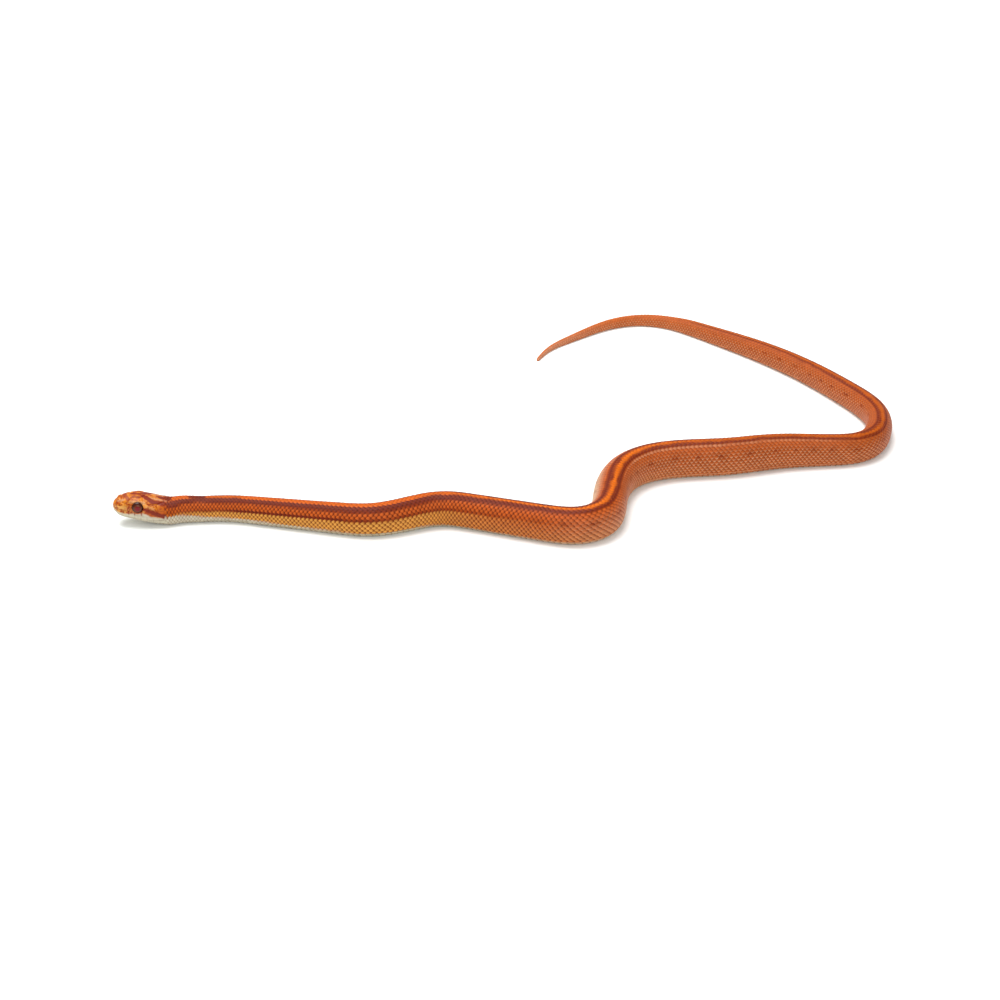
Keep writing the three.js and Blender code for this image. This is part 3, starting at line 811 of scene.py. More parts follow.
@dataclass
class SkinBuilder:
    """Builds the one skin under the scales, fine over the head and plainer along the body."""

    form: SnakeForm
    relief: HeadRelief
    unwrap: Unwrap
    head_columns: int = 256
    head_rings: int = 215
    head_ends: float = 15.0
    body_columns: int = 64
    body_pitch: float = 0.75
    under_scales: float = 0.05
    first_ring: float = 0.004
    crowding: float = 0.6
    crowding_power: float = 2.2
    near_floor: float = 0.3
    on_floor: float = 0.02

    def head_places(self) -> Array:
        """Spaces the head's rings, closest at the snout's tip."""
        t = np.linspace(0, 1, self.head_rings)
        crowded = (1 - self.crowding) * t + self.crowding * t**self.crowding_power
        return self.first_ring + (self.head_ends - self.first_ring) * crowded

    def values_at(self, s: Array, angle: Array, wrap: Array) -> dict[str, Array]:
        """Lists the values that the finish reads, on the skin at these places."""
        found = self.relief.heights(s, angle)
        sunk = self.under_scales * ease(s, self.relief.ends_at - 0.3, self.relief.ends_at + 1.2)
        _, level = self.form.profile(s, angle)
        sunk = np.where(level < self.near_floor, 0.0, sunk)
        height = np.where(level < self.on_floor, np.minimum(found["height"], 0.0), found["height"])
        around = self.form.untwisted(s, wrap)
        values = point_values(s, around, seam=found["seam"], mouth=found["mouth"])
        return {"height": height - sunk, **values}

    def build(self) -> bpy.types.Object:
        """Makes the skin."""
        draft = MeshDraft()
        head_s = self.head_places()
        fine = np.arange(self.head_columns)
        head_wrap = 2 * fine / self.head_columns
        head_wrap = np.where(head_wrap > 1, head_wrap - 2, head_wrap)
        body_s = np.arange(self.head_ends + 0.5, self.form.total_length, self.body_pitch)
        body_s = np.append(body_s, self.form.total_length - 0.05)
        every = self.head_columns // self.body_columns
        body_wrap = head_wrap[::every]
        self._rings(draft, head_s, head_wrap)
        first_body = draft.count
        self._rings(draft, body_s, body_wrap)
        self._face_grid(draft, head_s, head_wrap, 0)
        self._join(draft, head_s[-1], head_wrap, body_s[0], first_body, every)
        self._face_grid(draft, body_s, body_wrap, first_body)
        self._close(draft, head_s[0], head_wrap, 0, True)
        self._close(draft, body_s[-1], body_wrap, draft.count - self.body_columns, False)
        return draft.build("snake_skin")

    def _rings(self, draft: MeshDraft, places: Array, wraps: Array) -> None:
        """Adds the points of rings at places along the body."""
        s, wrap = np.meshgrid(places, wraps, indexing="ij")
        angle = self.form.angle_at(s, wrap)
        values = self.values_at(s, angle, wrap)
        height = values.pop("height")
        draft.add(self.form.lifted(s, angle, height), values)

    def _face_grid(self, draft: MeshDraft, places: Array, wraps: Array, first: int) -> None:
        """Joins rings by quads and lays the quads out flat."""
        columns = len(wraps)
        draft_faces = grid_faces(len(places), columns, first, closed=True)
        row, column = np.divmod(draft_faces - first, columns)
        s = places[row]
        wrap = self._unrolled(wraps[column])
        strip = self.unwrap.strip_of(s.mean(1, keepdims=True))
        draft.face(draft_faces, self.unwrap.place(s, wrap, strip))

    @staticmethod
    def _unrolled(wrap: Array) -> Array:
        """Keeps a face that crosses the belly's middle on one side of the layout."""
        crosses = (wrap.max(1) - wrap.min(1)) > 1
        return np.where(crosses[:, None] & (wrap > 0), wrap - 2, wrap)

    def _join(
        self, draft: MeshDraft, s0: float, wraps: Array, s1: float, first: int, every: int
    ) -> None:
        """Joins the head's last fine ring to the body's first plain one."""
        start = first - self.head_columns
        fine = np.arange(self.body_columns)[:, None] * every + np.arange(every + 1)[None, :]
        plain = np.stack([(fine[:, 0] // every + 1) % self.body_columns, fine[:, 0] // every], 1)
        faces = np.concatenate([start + fine % self.head_columns, first + plain], 1)
        wrap = np.concatenate([wraps[fine % self.head_columns], wraps[plain * every]], 1)
        s = np.concatenate([np.full(fine.shape, s0), np.full(plain.shape, s1)], 1)
        strip = self.unwrap.strip_of(s.mean(1, keepdims=True))
        draft.face(faces, self.unwrap.place(s, self._unrolled(wrap), strip))

    def _close(self, draft: MeshDraft, s0: float, wraps: Array, first: int, snout_and_highlight: bool) -> None:
        """Closes the skin at one end with one face, seen from outside."""
        order = np.arange(len(wraps))
        if snout_and_highlight:
            order = order[::-1]
        s = np.full((1, len(wraps)), s0)
        strip = self.unwrap.strip_of(s[:, :1])
        draft.face((first + order)[None, :], self.unwrap.place(s, wraps[order][None, :], strip))


@dataclass
class ScaleCoat:
    """Builds the overlapping scales of back, flanks and tail, in rows that run slantwise round the body."""

    form: SnakeForm
    relief: HeadRelief
    unwrap: Unwrap
    seed: int = 11
    lengthwise: float = 1.45
    crosswise: float = 1.03
    root_lift: float = -0.05
    tip_lift: float = 0.17
    dome: float = 0.10
    keel: float = 0.02
    thickness: float = 0.14
    unevenness: float = 0.02
    own_tone: float = 0.68
    full_size: float = 0.75
    coat_from: float = 12.7
    even_to: float = 100.0
    lopsided_from: float = 150.0
    keel_width: float = 0.16
    keeled_share: float = 0.55
    loose: float = 0.006
    tip_droop: float = 0.03
    side_droop: float = 0.035
    bare_tip: float = 0.9
    row_allowance: float = 0.12
    reaches_forward: float = 0.8
    stops_short: float = 0.02
    smallest: float = 0.35
    largest: float = 1.1
    lengthwise_at: tuple[float, ...] = (0.0, 0.2, 0.42, 0.62, 0.8, 0.93, 1.0)
    across_at: tuple[float, ...] = (-1.0, -0.7, -0.35, 0.0, 0.35, 0.7, 1.0)
    head_edge: Table = ((0, 13.0), (3, 12.7), (5, 13.1), (9, 13.3), (12, 13.5))
    pitch: Table = (
        (12, 0.76), (20, 0.9), (40, 1.08), (80, 1.2), (250, 1.2), (310, 1.08), (345, 0.9),
        (380, 0.74),
    )
    rows: Table = (
        (12, 11.5), (40, 12.5), (90, 13.5), (230, 13.5), (275, 11.5), (305, 9.5), (322, 7.5),
        (345, 5.5), (365, 4.5), (380, 3.5),
    )
    belly_edge: Table = ((12, 0.74), (40, 0.71), (300, 0.71), (330, 0.74), (380, 0.76))

    def places(self) -> tuple[Array, Array, Array]:
        """Finds where each scale is rooted.

        Returns:
            Distances along s, the row's number out from the back, and the row count at each.
        """
        ladder = [self.coat_from]
        while ladder[-1] < self.form.total_length - self.bare_tip:
            ladder.append(ladder[-1] + value_at(self.pitch, ladder[-1]))
        ladder = np.array(ladder)
        reach = int(max(row[1] for row in self.rows)) + 1
        found_s, found_row = [], []
        for row in range(-reach, reach + 1):
            shift = 0.5 * (row % 2)
            at = np.interp(np.arange(len(ladder)) + shift, np.arange(len(ladder)), ladder)
            keep = abs(row) <= smooth_table(self.rows, at) - 0.5 + self.row_allowance
            keep &= at > self.starts_at(abs(row))
            found_s.append(at[keep])
            found_row.append(np.full(keep.sum(), row))
        s = np.concatenate(found_s)
        return s, np.concatenate(found_row).astype(float), smooth_table(self.rows, s)

    def starts_at(self, row: int) -> float:
        """Says how far behind the snout a row begins, behind the plates of the head."""
        return value_at(self.head_edge, row)

    def template(self) -> tuple[Array, Array, Array, Array]:
        """Draws one scale on a plain square.

        Returns:
            Its points' places across and lengthwise, the across place as a share of the width there, and
            their heights.
        """
        vv, uu = np.meshgrid(self.lengthwise_at, self.across_at, indexing="ij")
        width = (1 - np.abs(2 * np.clip(vv, 0.02, 0.985) - 0.96).clip(0, 0.999) ** 2.3) ** 0.62
        lift = self.root_lift + (self.tip_lift - self.root_lift) * vv**0.8
        lift = lift + self.dome * (1 - uu**2) * np.sin(math.pi * np.clip(vv, 0.1, 0.92))
        lift = lift - self.tip_droop * ease(vv, 0.86, 1.0) - self.side_droop * uu**4
        return uu * width, vv, uu, lift

    def build(self, parts: Sequence[tuple[str, float, float]]) -> list[bpy.types.Object]:
        """Makes the coat in pieces.

        Args:
            parts: Each piece's name and the stretch of s that it covers.

        Returns:
            The pieces.
        """
        s, row, rows = self.places()
        luck = np.random.default_rng(self.seed)
        tint = luck.random(len(s))
        jitter = luck.normal(0, 1, (len(s), 3))
        made = []
        for name, low, high in parts:
            here = (s >= low) & (s < high)
            made.append(self._piece(name, s[here], row[here], rows[here], tint[here], jitter[here]))
        return made

    def _rims(self, s: Array, row: Array, v: Array, u: Array) -> tuple[Array, Array]:
        """Shades the rims of scales.

        Args:
            s: The scales' roots along the body.
            row: The scales' rows out from the back.
            v: The lengthwise places of the points.
            u: The across places of the points.

        Returns:
            How near each point is to the dark part of its rim, and how near to the pale part: on the
            front of the body the dark runs all round, and behind that it is on the side of the back.
            The pale part is the lower flanks' own pale scale edges, and on the dark band a painted highlight.
        """
        out = u[None] * np.where(row == 0, 1, np.sign(row))[:, None, None]
        out = np.where(row[:, None, None] == 0, np.abs(out), out)
        tip = ease(v, 0.58, 0.95)[None]
        even = np.maximum(ease(np.abs(u), 0.4, 1.0)[None], tip)
        upper = np.maximum(ease(-out, 0.0, 0.8), 0.6 * tip)
        lower = ease(out, 0.1, 0.75) * ease(v, 0.2, 0.55)[None]
        lopsided = ease(s, self.even_to, self.lopsided_from)[:, None, None]
        return even * (1 - lopsided) + upper * lopsided, lower * (0.5 + 0.5 * lopsided)

    def _piece(
        self, name: str, s: Array, row: Array, rows: Array, tint: Array, jitter: Array
    ) -> bpy.types.Object:
        """Makes the scales of one stretch as one mesh."""
        across, v, u, lift = self.template()
        each = (slice(None), None, None)
        pitch = smooth_table(self.pitch, s)
        spacing = smooth_table(self.belly_edge, s) / rows
        wrap = row * spacing
        length = pitch * self.lengthwise * (1 + self.unevenness * jitter[:, 0])
        width = spacing * self.crosswise * (1 + self.unevenness * jitter[:, 1])
        ss = s[each] + (v[None] - 0.5) * length[each]
        ends = self.coat_from - self.reaches_forward, self.form.total_length - self.stops_short
        ss = np.clip(ss, *ends)
        ww = wrap[each] + across[None] * width[each]
        place = self.form.twisted(ss, ww)
        real_width = self.form.round_length(s) * spacing
        small = np.clip(real_width / self.full_size, self.smallest, self.largest)[each]
        keeled = np.clip(1 - np.abs(row) / rows / self.keeled_share, 0, 1)[each]
        crest = np.exp(-((across / self.keel_width) ** 2)) * np.sin(math.pi * v)
        height = (lift[None] + self.keel * keeled * crest[None]) * small + self.loose * jitter[:, 2][each]
        edge, shine = self._rims(s, row, v, u)
        along = self.own_tone * s[each] + (1 - self.own_tone) * ss
        around = self.own_tone * wrap[each] + (1 - self.own_tone) * ww
        values = point_values(along, around, tint=tint[each], edge=edge, shine=shine)
        tops = self.form.point(ss, place, height)
        lows = self.form.point(ss, place, height - self.thickness * small)
        for points in (tops, lows):
            points[..., 2] = np.maximum(points[..., 2], 0.0)
        draft = MeshDraft()
        grid = PlateGrid(len(self.lengthwise_at), len(self.across_at))
        grid.add(draft, tops, lows, values, self._patches(s, wrap, pitch, spacing, across, v))
        return draft.build(name)

    def _patches(
        self, s: Array, wrap: Array, pitch: Array, spacing: Array, across: Array, lengthwise: Array
    ) -> Array:
        """Lays each scale out as a small patch at its root's place on the unwrapped skin."""
        root = self.unwrap.place(s, np.clip(wrap, -0.99, 0.99), self.unwrap.strip_of(s))
        wide = self.unwrap.patch_share * pitch / (self.unwrap.total_length / self.unwrap.strips)
        tall = self.unwrap.patch_share * spacing * 0.5 / self.unwrap.strips
        local = np.stack([(lengthwise - 0.5).ravel(), 0.5 * across.ravel()], 1)
        size = np.stack([wide, np.maximum(tall, self.unwrap.smallest_patch)], 1)
        return np.clip(root[:, None, :] + local[None] * size[:, None, :], 0.0005, 0.9995)


@dataclass
class BellyScutes:
    """Builds the broad overlapping scutes of the belly, and the paired ones under the tail."""

    form: SnakeForm
    coat: ScaleCoat
    unwrap: Unwrap
    starts: float = 10.5
    tucked_to: float = 8.0
    bare_tip: float = 1.2
    stops_short: float = 0.05
    vent: float = 315.0
    overlap: float = 1.25
    pitch_share: float = 1.2
    sunk: float = 0.04
    rise: float = 0.10
    thickness: float = 0.12
    seam_overlap: float = 0.02
    under_coat: float = 0.012
    turned_back: float = 0.35
    full_round: float = 13.0
    edge_tone: float = 0.6
    golden: float = 0.618
    grid: PlateGrid = PlateGrid(5, 15)

    def build(self) -> bpy.types.Object:
        """Makes all the scutes as one mesh."""
        draft = MeshDraft()
        s, number = self.starts, 0
        while s < self.form.total_length - self.bare_tip:
            half = self.seam_overlap
            spans = [(-1.0, 1.0)] if s < self.vent else [(-1.0, half), (-half, 1.0)]
            for low, high in spans:
                self._scute(draft, s, low, high, number)
            s += self.pitch_at(s)
            number += 1
        return draft.build("belly_scutes")

    def pitch_at(self, s: float) -> float:
        """Gives the length of belly that a scute takes up."""
        return self.pitch_share * value_at(self.coat.pitch, s)

    def _scute(self, draft: MeshDraft, s: float, low: float, high: float, number: int) -> None:
        """Adds one scute, which spans part of the belly's width from -1 to 1."""
        pitch = self.pitch_at(s)
        reach = 1 - value_at(self.coat.belly_edge, s) + self.under_coat
        across = np.linspace(low, high, self.grid.columns)
        v, u = np.meshgrid(np.linspace(0, 1, self.grid.lines), across, indexing="ij")
        ends = np.abs(u) ** 6
        ss = s + (v - 0.5) * pitch * self.overlap - self.turned_back * pitch * ends * (v - 0.2)
        ss = np.clip(ss, self.tucked_to, self.form.total_length - self.stops_short)
        wrap = 1 - u * reach
        wrap = np.where(wrap > 1, wrap - 2, wrap)
        small = min(1.0, float(self.form.round_length(np.array(s))) / self.full_round)
        lift = ((self.rise + self.sunk) * v - self.sunk) * small * (1 - 0.3 * ends)
        angle = self.form.angle_at(ss, wrap)
        tint = (number * self.golden) % 1.0
        values = point_values(ss, wrap, tint=tint, edge=ease(v, 0.75, 1.0) * self.edge_tone)
        tops = self.form.lifted(ss, angle, lift)
        lows = self.form.lifted(ss, angle, lift - self.thickness * small)
        tops[..., 2] = np.maximum(tops[..., 2], 0.0)
        lows[..., 2] = np.maximum(lows[..., 2], 0.6 * self.sunk)
        cell = s + (v - 0.5) * self.unwrap.patch_share * pitch
        strip = np.full(ss.shape, self.unwrap.strip_of(np.array(s)))
        places = self.unwrap.place(cell, 1 - 0.5 * (1 + u) * reach, strip)
        self.grid.add(draft, tops[None], lows[None], {k: x[None] for k, x in values.items()}, places, True)


class ColourName(Enum):
    """The colours of the animal, as they look in even light; a few carry painted highlights and one a painted
    shade.
    """

    STRIPE_FRONT = "#e66e2e"
    STRIPE = "#f0782a"
    STRIPE_REAR = "#cf6832"
    STRIPE_TAIL = "#dc7c48"
    DARK = "#7e2408"
    DARK_REAR = "#80280c"
    FLANK_FRONT = "#da6e40"
    FLANK_REAR = "#cc6a3e"
    GOLD = "#f8b060"
    LOW_MIDDLE = "#e48e58"
    LOW_REAR = "#d67a4c"
    BELLY = "#e2d2b2"
    BELLY_REAR = "#f4c8a2"
    OUTLINE = "#5a1606"
    OUTLINE_GOLD = "#701e04"
    OUTLINE_REAR = "#84341a"
    PALE_RIM = "#f4be96"
    # The pale rims of scales on the dark band: a painted highlight.
    DARK_BAND_HIGHLIGHT = "#d87844"
    TAIL = "#d67446"
    TAIL_TIP = "#eaa07c"
    CROWN = "#ee9440"
    CROWN_LIGHT = "#f8b46c"
    CROWN_BLOTCH = "#9e2c08"
    MOTTLE = "#ac3e16"
    # The snout's yellow, made paler to stand for the light on its tip: partly a painted highlight.
    SNOUT_AND_HIGHLIGHT = "#ffc474"
    LIP = "#e2d8c0"
    TEMPLE = "#c8662e"
    # The dark line of the shut mouth: painted shade in the groove between the lips.
    MOUTH = "#5a2418"
    PUPIL = "#740a14"
    IRIS = "#662c14"
    IRIS_RIM = "#3c160a"

    @property
    def linear(self) -> tuple[float, float, float, float]:
        """The colour as light, for a shader."""
        parts = [int(self.value[i : i + 2], 16) / 255 for i in (1, 3, 5)]
        light = [p / 12.92 if p <= 0.04045 else ((p + 0.055) / 1.055) ** 2.4 for p in parts]
        return (light[0], light[1], light[2], 1.0)


# Where a mix node keeps its share and its two colours, and the colour it gives.
COLOUR_MIX_INPUTS = (0, 6, 7)
COLOUR_MIX_OUTPUT = 2


class Nodes:
    """A small pen for drawing shader node trees."""

    def __init__(self, tree: bpy.types.NodeTree) -> None:
        """Starts on an empty tree."""
        self.tree = tree
        tree.nodes.clear()

    def add(self, kind: str, **settings: object) -> bpy.types.Node:
        """Adds a node and sets its properties."""
        node = self.tree.nodes.new(kind)
        for key, value in settings.items():
            setattr(node, key, value)
        return node

    def put(self, socket: bpy.types.NodeSocket, value: object) -> None:
        """Joins an output to a socket, or writes a plain value or a named colour on it."""
        if isinstance(value, bpy.types.NodeSocket):
            self.tree.links.new(value, socket)
        else:
            socket.default_value = value.linear if isinstance(value, ColourName) else value

    def fill(self, node: bpy.types.Node, **values: object) -> bpy.types.Node:
        """Fills a node's inputs, named with _ for a space, and returns the node."""
        for name, value in values.items():
            self.put(node.inputs[name.replace("_", " ")], value)
        return node

    def attribute(self, name: str) -> bpy.types.NodeSocket:
        """Reads one of the mesh's values."""
        return self.add("ShaderNodeAttribute", attribute_name=name).outputs["Fac"]

    def math(self, operation: str, *values: object) -> bpy.types.NodeSocket:
        """Works out one sum."""
        node = self.add("ShaderNodeMath", operation=operation)
        for socket, value in zip(node.inputs, values):
            self.put(socket, value)
        return node.outputs[0]

    def rise(self, value: object, low: float, high: float) -> bpy.types.NodeSocket:
        """Goes smoothly from 0 at low to 1 at high."""
        node = self.add("ShaderNodeMapRange", interpolation_type="SMOOTHSTEP")
        return self.fill(node, Value=value, From_Min=low, From_Max=high).outputs["Result"]

    def plus(self, *values: object) -> bpy.types.NodeSocket:
        """Adds two or more values."""
        total = values[0]
        for value in values[1:]:
            total = self.math("ADD", total, value)
        return total

    def times(self, *values: object) -> bpy.types.NodeSocket:
        """Multiplies two or more values."""
        product = values[0]
        for value in values[1:]:
            product = self.math("MULTIPLY", product, value)
        return product

    def rest(self, value: object) -> bpy.types.NodeSocket:
        """Gives what is left of 1 without a share."""
        return self.math("SUBTRACT", 1.0, value)

    def mix(self, share: object, a: object, b: object) -> bpy.types.NodeSocket:
        """Mixes two colours."""
        node = self.add("ShaderNodeMix", data_type="RGBA")
        for place, value in zip(COLOUR_MIX_INPUTS, (share, a, b)):
            self.put(node.inputs[place], value)
        return node.outputs[COLOUR_MIX_OUTPUT]

    def shade(self, colour: object, value: object, saturation: float = 1.0) -> bpy.types.NodeSocket:
        """Darkens a colour and sets how strong it is."""
        node = self.add("ShaderNodeHueSaturation")
        return self.fill(node, Color=colour, Value=value, Saturation=saturation).outputs["Color"]

    def ramp(self, value: object, stops: Sequence[tuple[float, ColourName]]) -> bpy.types.NodeSocket:
        """Reads a row of colours along a value."""
        node = self.add("ShaderNodeValToRGB")
        node.color_ramp.interpolation = "EASE"
        elements = node.color_ramp.elements
        while len(elements) < len(stops):
            elements.new(0.5)
        for element, (at, colour) in zip(elements, stops):
            element.position = at
            element.color = colour.linear
        self.put(node.inputs[0], value)
        return node.outputs["Color"]

    def noise(self, vector: object, scale: object, detail: float = 2.0) -> bpy.types.NodeSocket:
        """Reads a soft noise."""
        node = self.add("ShaderNodeTexNoise")
        return self.fill(node, Vector=vector, Scale=scale, Detail=detail).outputs["Fac"]

    def group(self, tree: bpy.types.NodeTree, **values: object) -> bpy.types.Node:
        """Places a node group and fills its inputs."""
        return self.fill(self.add("ShaderNodeGroup", node_tree=tree), **values)


FLOAT = "NodeSocketFloat"
COLOUR = "NodeSocketColor"


def new_group(
    name: str, inputs: Sequence[str], outputs: Sequence[tuple[str, str]]
) -> tuple[Nodes, bpy.types.Node, bpy.types.Node]:
    """Starts a shader node group.

    Args:
        name: The group's name.
        inputs: The names of its inputs, which are all plain values.
        outputs: Each output's name and kind of socket.

    Returns:
        The pen, the group's input node and its output node.
    """
    tree = bpy.data.node_groups.new(name, "ShaderNodeTree")
    for label in inputs:
        tree.interface.new_socket(label, in_out="INPUT", socket_type=FLOAT)
    for label, kind in outputs:
        tree.interface.new_socket(label, in_out="OUTPUT", socket_type=kind)
    pen = Nodes(tree)
    return pen, pen.add("NodeGroupInput"), pen.add("NodeGroupOutput")


def new_material(name: str) -> tuple[bpy.types.Material, Nodes, bpy.types.Node]:
    """Starts a material.

    Args:
        name: The material's name.

    Returns:
        The material, its pen and the shader on its surface.
    """
    material = bpy.data.materials.new(name)
    material.use_nodes = True
    pen = Nodes(material.node_tree)
    shader = pen.add("ShaderNodeBsdfPrincipled")
    pen.fill(pen.add("ShaderNodeOutputMaterial"), Surface=shader.outputs["BSDF"])
    return material, pen, shader


@dataclass(frozen=True)
class Blotch:
    """A dark mark: a stroke between two places, each a distance s and a wrap, its half width and strength."""

    s0: float
    wrap0: float
    s1: float
    wrap1: float
    half: float
    strength: float = 1.0


@dataclass
class Markings:
    """The markings of skin and coat, as shares from 0 to 1 at any place on the animal."""

    round_scale: float = 13.0
    stripe_half: Table = (
        (0, 0.12), (14, 0.12), (16.5, 0.11), (18.5, 0.08), (21, 0.055), (28, 0.06), (40, 0.07),
        (66, 0.076), (96, 0.048), (120, 0.048), (144, 0.05), (165, 0.049), (200, 0.054),
        (230, 0.05), (243, 0.055), (300, 0.056), (330, 0.055), (380, 0.045),
    )
    band_outer: Table = (
        (0, 0.27), (15, 0.28), (18, 0.225), (22, 0.19), (26, 0.225), (40, 0.215), (66, 0.235),
        (80, 0.215), (96, 0.17), (115, 0.15), (144, 0.145), (165, 0.122), (200, 0.112),
        (230, 0.118), (243, 0.13), (290, 0.118), (320, 0.105), (380, 0.07),
    )
    band_strength: Table = ((0, 1.0), (260, 1.0), (300, 0.85), (322, 0.5), (345, 0.0))
    line_middle: Table = ((14, 0.43), (18, 0.41), (24, 0.40), (80, 0.385), (105, 0.34))
    line_strength: Table = (
        (15, 0), (18, 0.7), (22, 1.0), (70, 1.0), (97, 0.45), (120, 0.2), (150, 0),
    )
    line_half: float = 0.027
    gold_strength: Table = (
        (16, 0.6), (24, 1.0), (66, 1.0), (82, 0.8), (100, 0.4), (125, 0.15), (150, 0),
    )
    pale_from: Table = (
        (0, 0.57), (2.6, 0.585), (4.2, 0.575), (5.8, 0.55), (7.2, 0.515), (8.2, 0.495), (10, 0.52),
        (12.6, 0.515), (13.8, 0.48), (18, 0.5), (22, 0.545), (26, 0.58), (40, 0.62), (54, 0.65),
        (80, 0.68), (97, 0.72), (130, 0.71), (150, 0.72), (200, 0.77), (380, 0.79),
    )
    unevenness: float = 0.009
    softness: float = 0.012
    dash_spacing: float = 6.5
    dash_strength: float = 0.8
    # A painted sheen: a pale patch on the flanks at the S-bend, where the bright surroundings shine on the
    # scales, stronger on the right side.
    painted_sheen: Table = ((114, 0), (126, 1.0), (146, 0.95), (160, 0.3), (172, 0))
    painted_sheen_on_left: float = 0.15
    # Pale strokes on the head: pale patches of its skin, and on the top of the snout a painted highlight.
    pale_marks_and_highlights: tuple[Blotch, ...] = (
        Blotch(4.6, 0.27, 8.0, 0.27, 0.4, 0.22),
        Blotch(8.6, 0.33, 10.5, 0.35, 0.3, 0.1),
        Blotch(9.0, 0.09, 13.6, 0.1, 0.35, 0.25),
        # A painted highlight on the top of the snout.
        Blotch(1.6, 0.2, 3.0, 0.2, 0.4, 0.25),
    )
    blotches: tuple[Blotch, ...] = (
        Blotch(3.2, 0.02, 4.1, 0.2, 0.5, 0.75),
        Blotch(5.1, 0.0, 6.9, 0.0, 0.55),
        Blotch(5.4, 0.13, 7.1, 0.13, 0.34, 0.8),
        Blotch(7.9, 0.06, 10.1, 0.19, 0.78),
        Blotch(10.0, 0.19, 11.8, 0.19, 0.55),
        Blotch(11.8, 0.19, 14.0, 0.2, 0.66),
        Blotch(14.0, 0.2, 16.0, 0.22, 0.85),
        Blotch(12.0, 0.0, 14.3, 0.03, 0.66),
        Blotch(7.9, 0.395, 10.3, 0.43, 0.44),
        Blotch(10.3, 0.435, 12.9, 0.475, 0.6),
        Blotch(4.1, 0.5, 4.1, 0.6, 0.17, 0.75),
        Blotch(5.6, 0.5, 5.6, 0.59, 0.17, 0.75),
        Blotch(7.4, 0.47, 7.3, 0.56, 0.17, 0.75),
        Blotch(13.6, 0.46, 13.6, 0.51, 0.14, 0.7),
        Blotch(19.6, 0.0, 22.6, 0.0, 0.85),
    )

    @staticmethod
    def ripple(s: Array, wrap: Array, fine: float) -> Array:
        """Gives a gentle unevenness from -1 to 1, with waves about so many millimetres long."""
        x, y = s / fine, wrap * 14 / fine
        waves = np.sin(5.1 * x + 2.3 * y) + np.sin(3.7 * x - 4.1 * y + 1.7) + np.sin(7.9 * x + 0.9 * y + 4.0)
        return (waves + np.sin(1.3 * x + 6.7 * y + 2.2)) / 4

    def _stroke(self, s: Array, wrap: Array, mark: Blotch) -> Array:
        """Shades one dark mark."""
        x, y = s - mark.s0, (wrap - mark.wrap0) * self.round_scale
        dx, dy = mark.s1 - mark.s0, (mark.wrap1 - mark.wrap0) * self.round_scale
        t = np.clip((x * dx + y * dy) / max(dx * dx + dy * dy, 1e-6), 0, 1)
        ragged = 0.35 * min(mark.half, 0.5)
        reach = np.hypot(x - t * dx, y - t * dy) + ragged * self.ripple(s, wrap, 1.7)
        soft = 0.14 + 0.35 * mark.half
        return mark.strength * (1 - ease(reach, mark.half - 0.5 * soft, mark.half + 0.5 * soft))

    def shares(self, s: Array, around: Array) -> dict[str, Array]:
        """Works out the markings.

        Args:
            s: Distances from the snout.
            around: Wraps, from -1 to 1.

        Returns:
            The shares of dark, back stripe, gold and pale at each place; the pale share also carries painted
            highlights and a painted sheen.
        """
        a = np.abs(around)
        uneven = a + self.unevenness * self.ripple(s, around, 6.0)
        on_body = ease(s, 12.8, 15.0)
        half, outer = smooth_table(self.stripe_half, s), smooth_table(self.band_outer, s)
        off_stripe = ease(uneven, half - self.softness, half + self.softness)
        fade = 0.01 + 0.024 * (1 - ease(s, 90, 130))
        band = off_stripe * (1 - ease(uneven, outer - fade, outer + fade))
        band = band * smooth_table(self.band_strength, s) * on_body
        middle = smooth_table(self.line_middle, s)
        near_line = np.exp(-(((uneven - middle) / self.line_half) ** 2))
        line = near_line * smooth_table(self.line_strength, s)
        beat = np.cos(2 * math.pi * s / self.dash_spacing + 1.5 * np.sin(s / 11) + np.sin(s / 4.7))
        dashed = ease(s, 100, 120) * (1 - ease(s, 285, 305))
        dashes = self.dash_strength * near_line * ease(beat, 0.45, 0.95) * dashed
        dark = np.maximum(np.maximum(band, line), dashes)
        for mark in self.blotches:
            dark = np.maximum(dark, self._stroke(s, a, mark))
        pale_from = smooth_table(self.pale_from, s)
        pale = ease(a + 0.012 * self.ripple(s, around, 2.2), pale_from - 0.02, pale_from + 0.03)
        # A painted sheen on the flanks at the S-bend.
        painted_sheen = smooth_table(self.painted_sheen, s) * np.where(around < 0, 1.0, self.painted_sheen_on_left)
        pale = np.maximum(pale, painted_sheen * ease(a, 0.13, 0.38))
        # A painted highlight: a faint pale row along the scales just under the dark band's edge, from the
        # S-bend to mid-body.
        highlight_under_band = np.exp(-(((uneven - outer - 0.03) / 0.016) ** 2))
        pale = np.maximum(pale, 0.28 * highlight_under_band * ease(s, 132, 150) * (1 - ease(s, 205, 225)))
        # The head's pale strokes, one of them a painted highlight.
        for mark in self.pale_marks_and_highlights:
            pale = np.maximum(pale, self._stroke(s, a, mark))
        gold = ease(uneven, middle + 0.005, middle + 0.04) * smooth_table(self.gold_strength, s) * on_body
        stripe = (1 - off_stripe) * on_body
        return {"dark": dark, "stripe": stripe, "gold": gold * (1 - pale), "pale": pale}


# The values that the shared colouring reads, each held by the meshes under its name in small letters.
COLOUR_INPUTS = (
    *("Along", "Around", "Dark", "Stripe", "Gold", "Pale"),
    *("Edge", "Shine", "Tint", "Seam", "Mouth"),
)


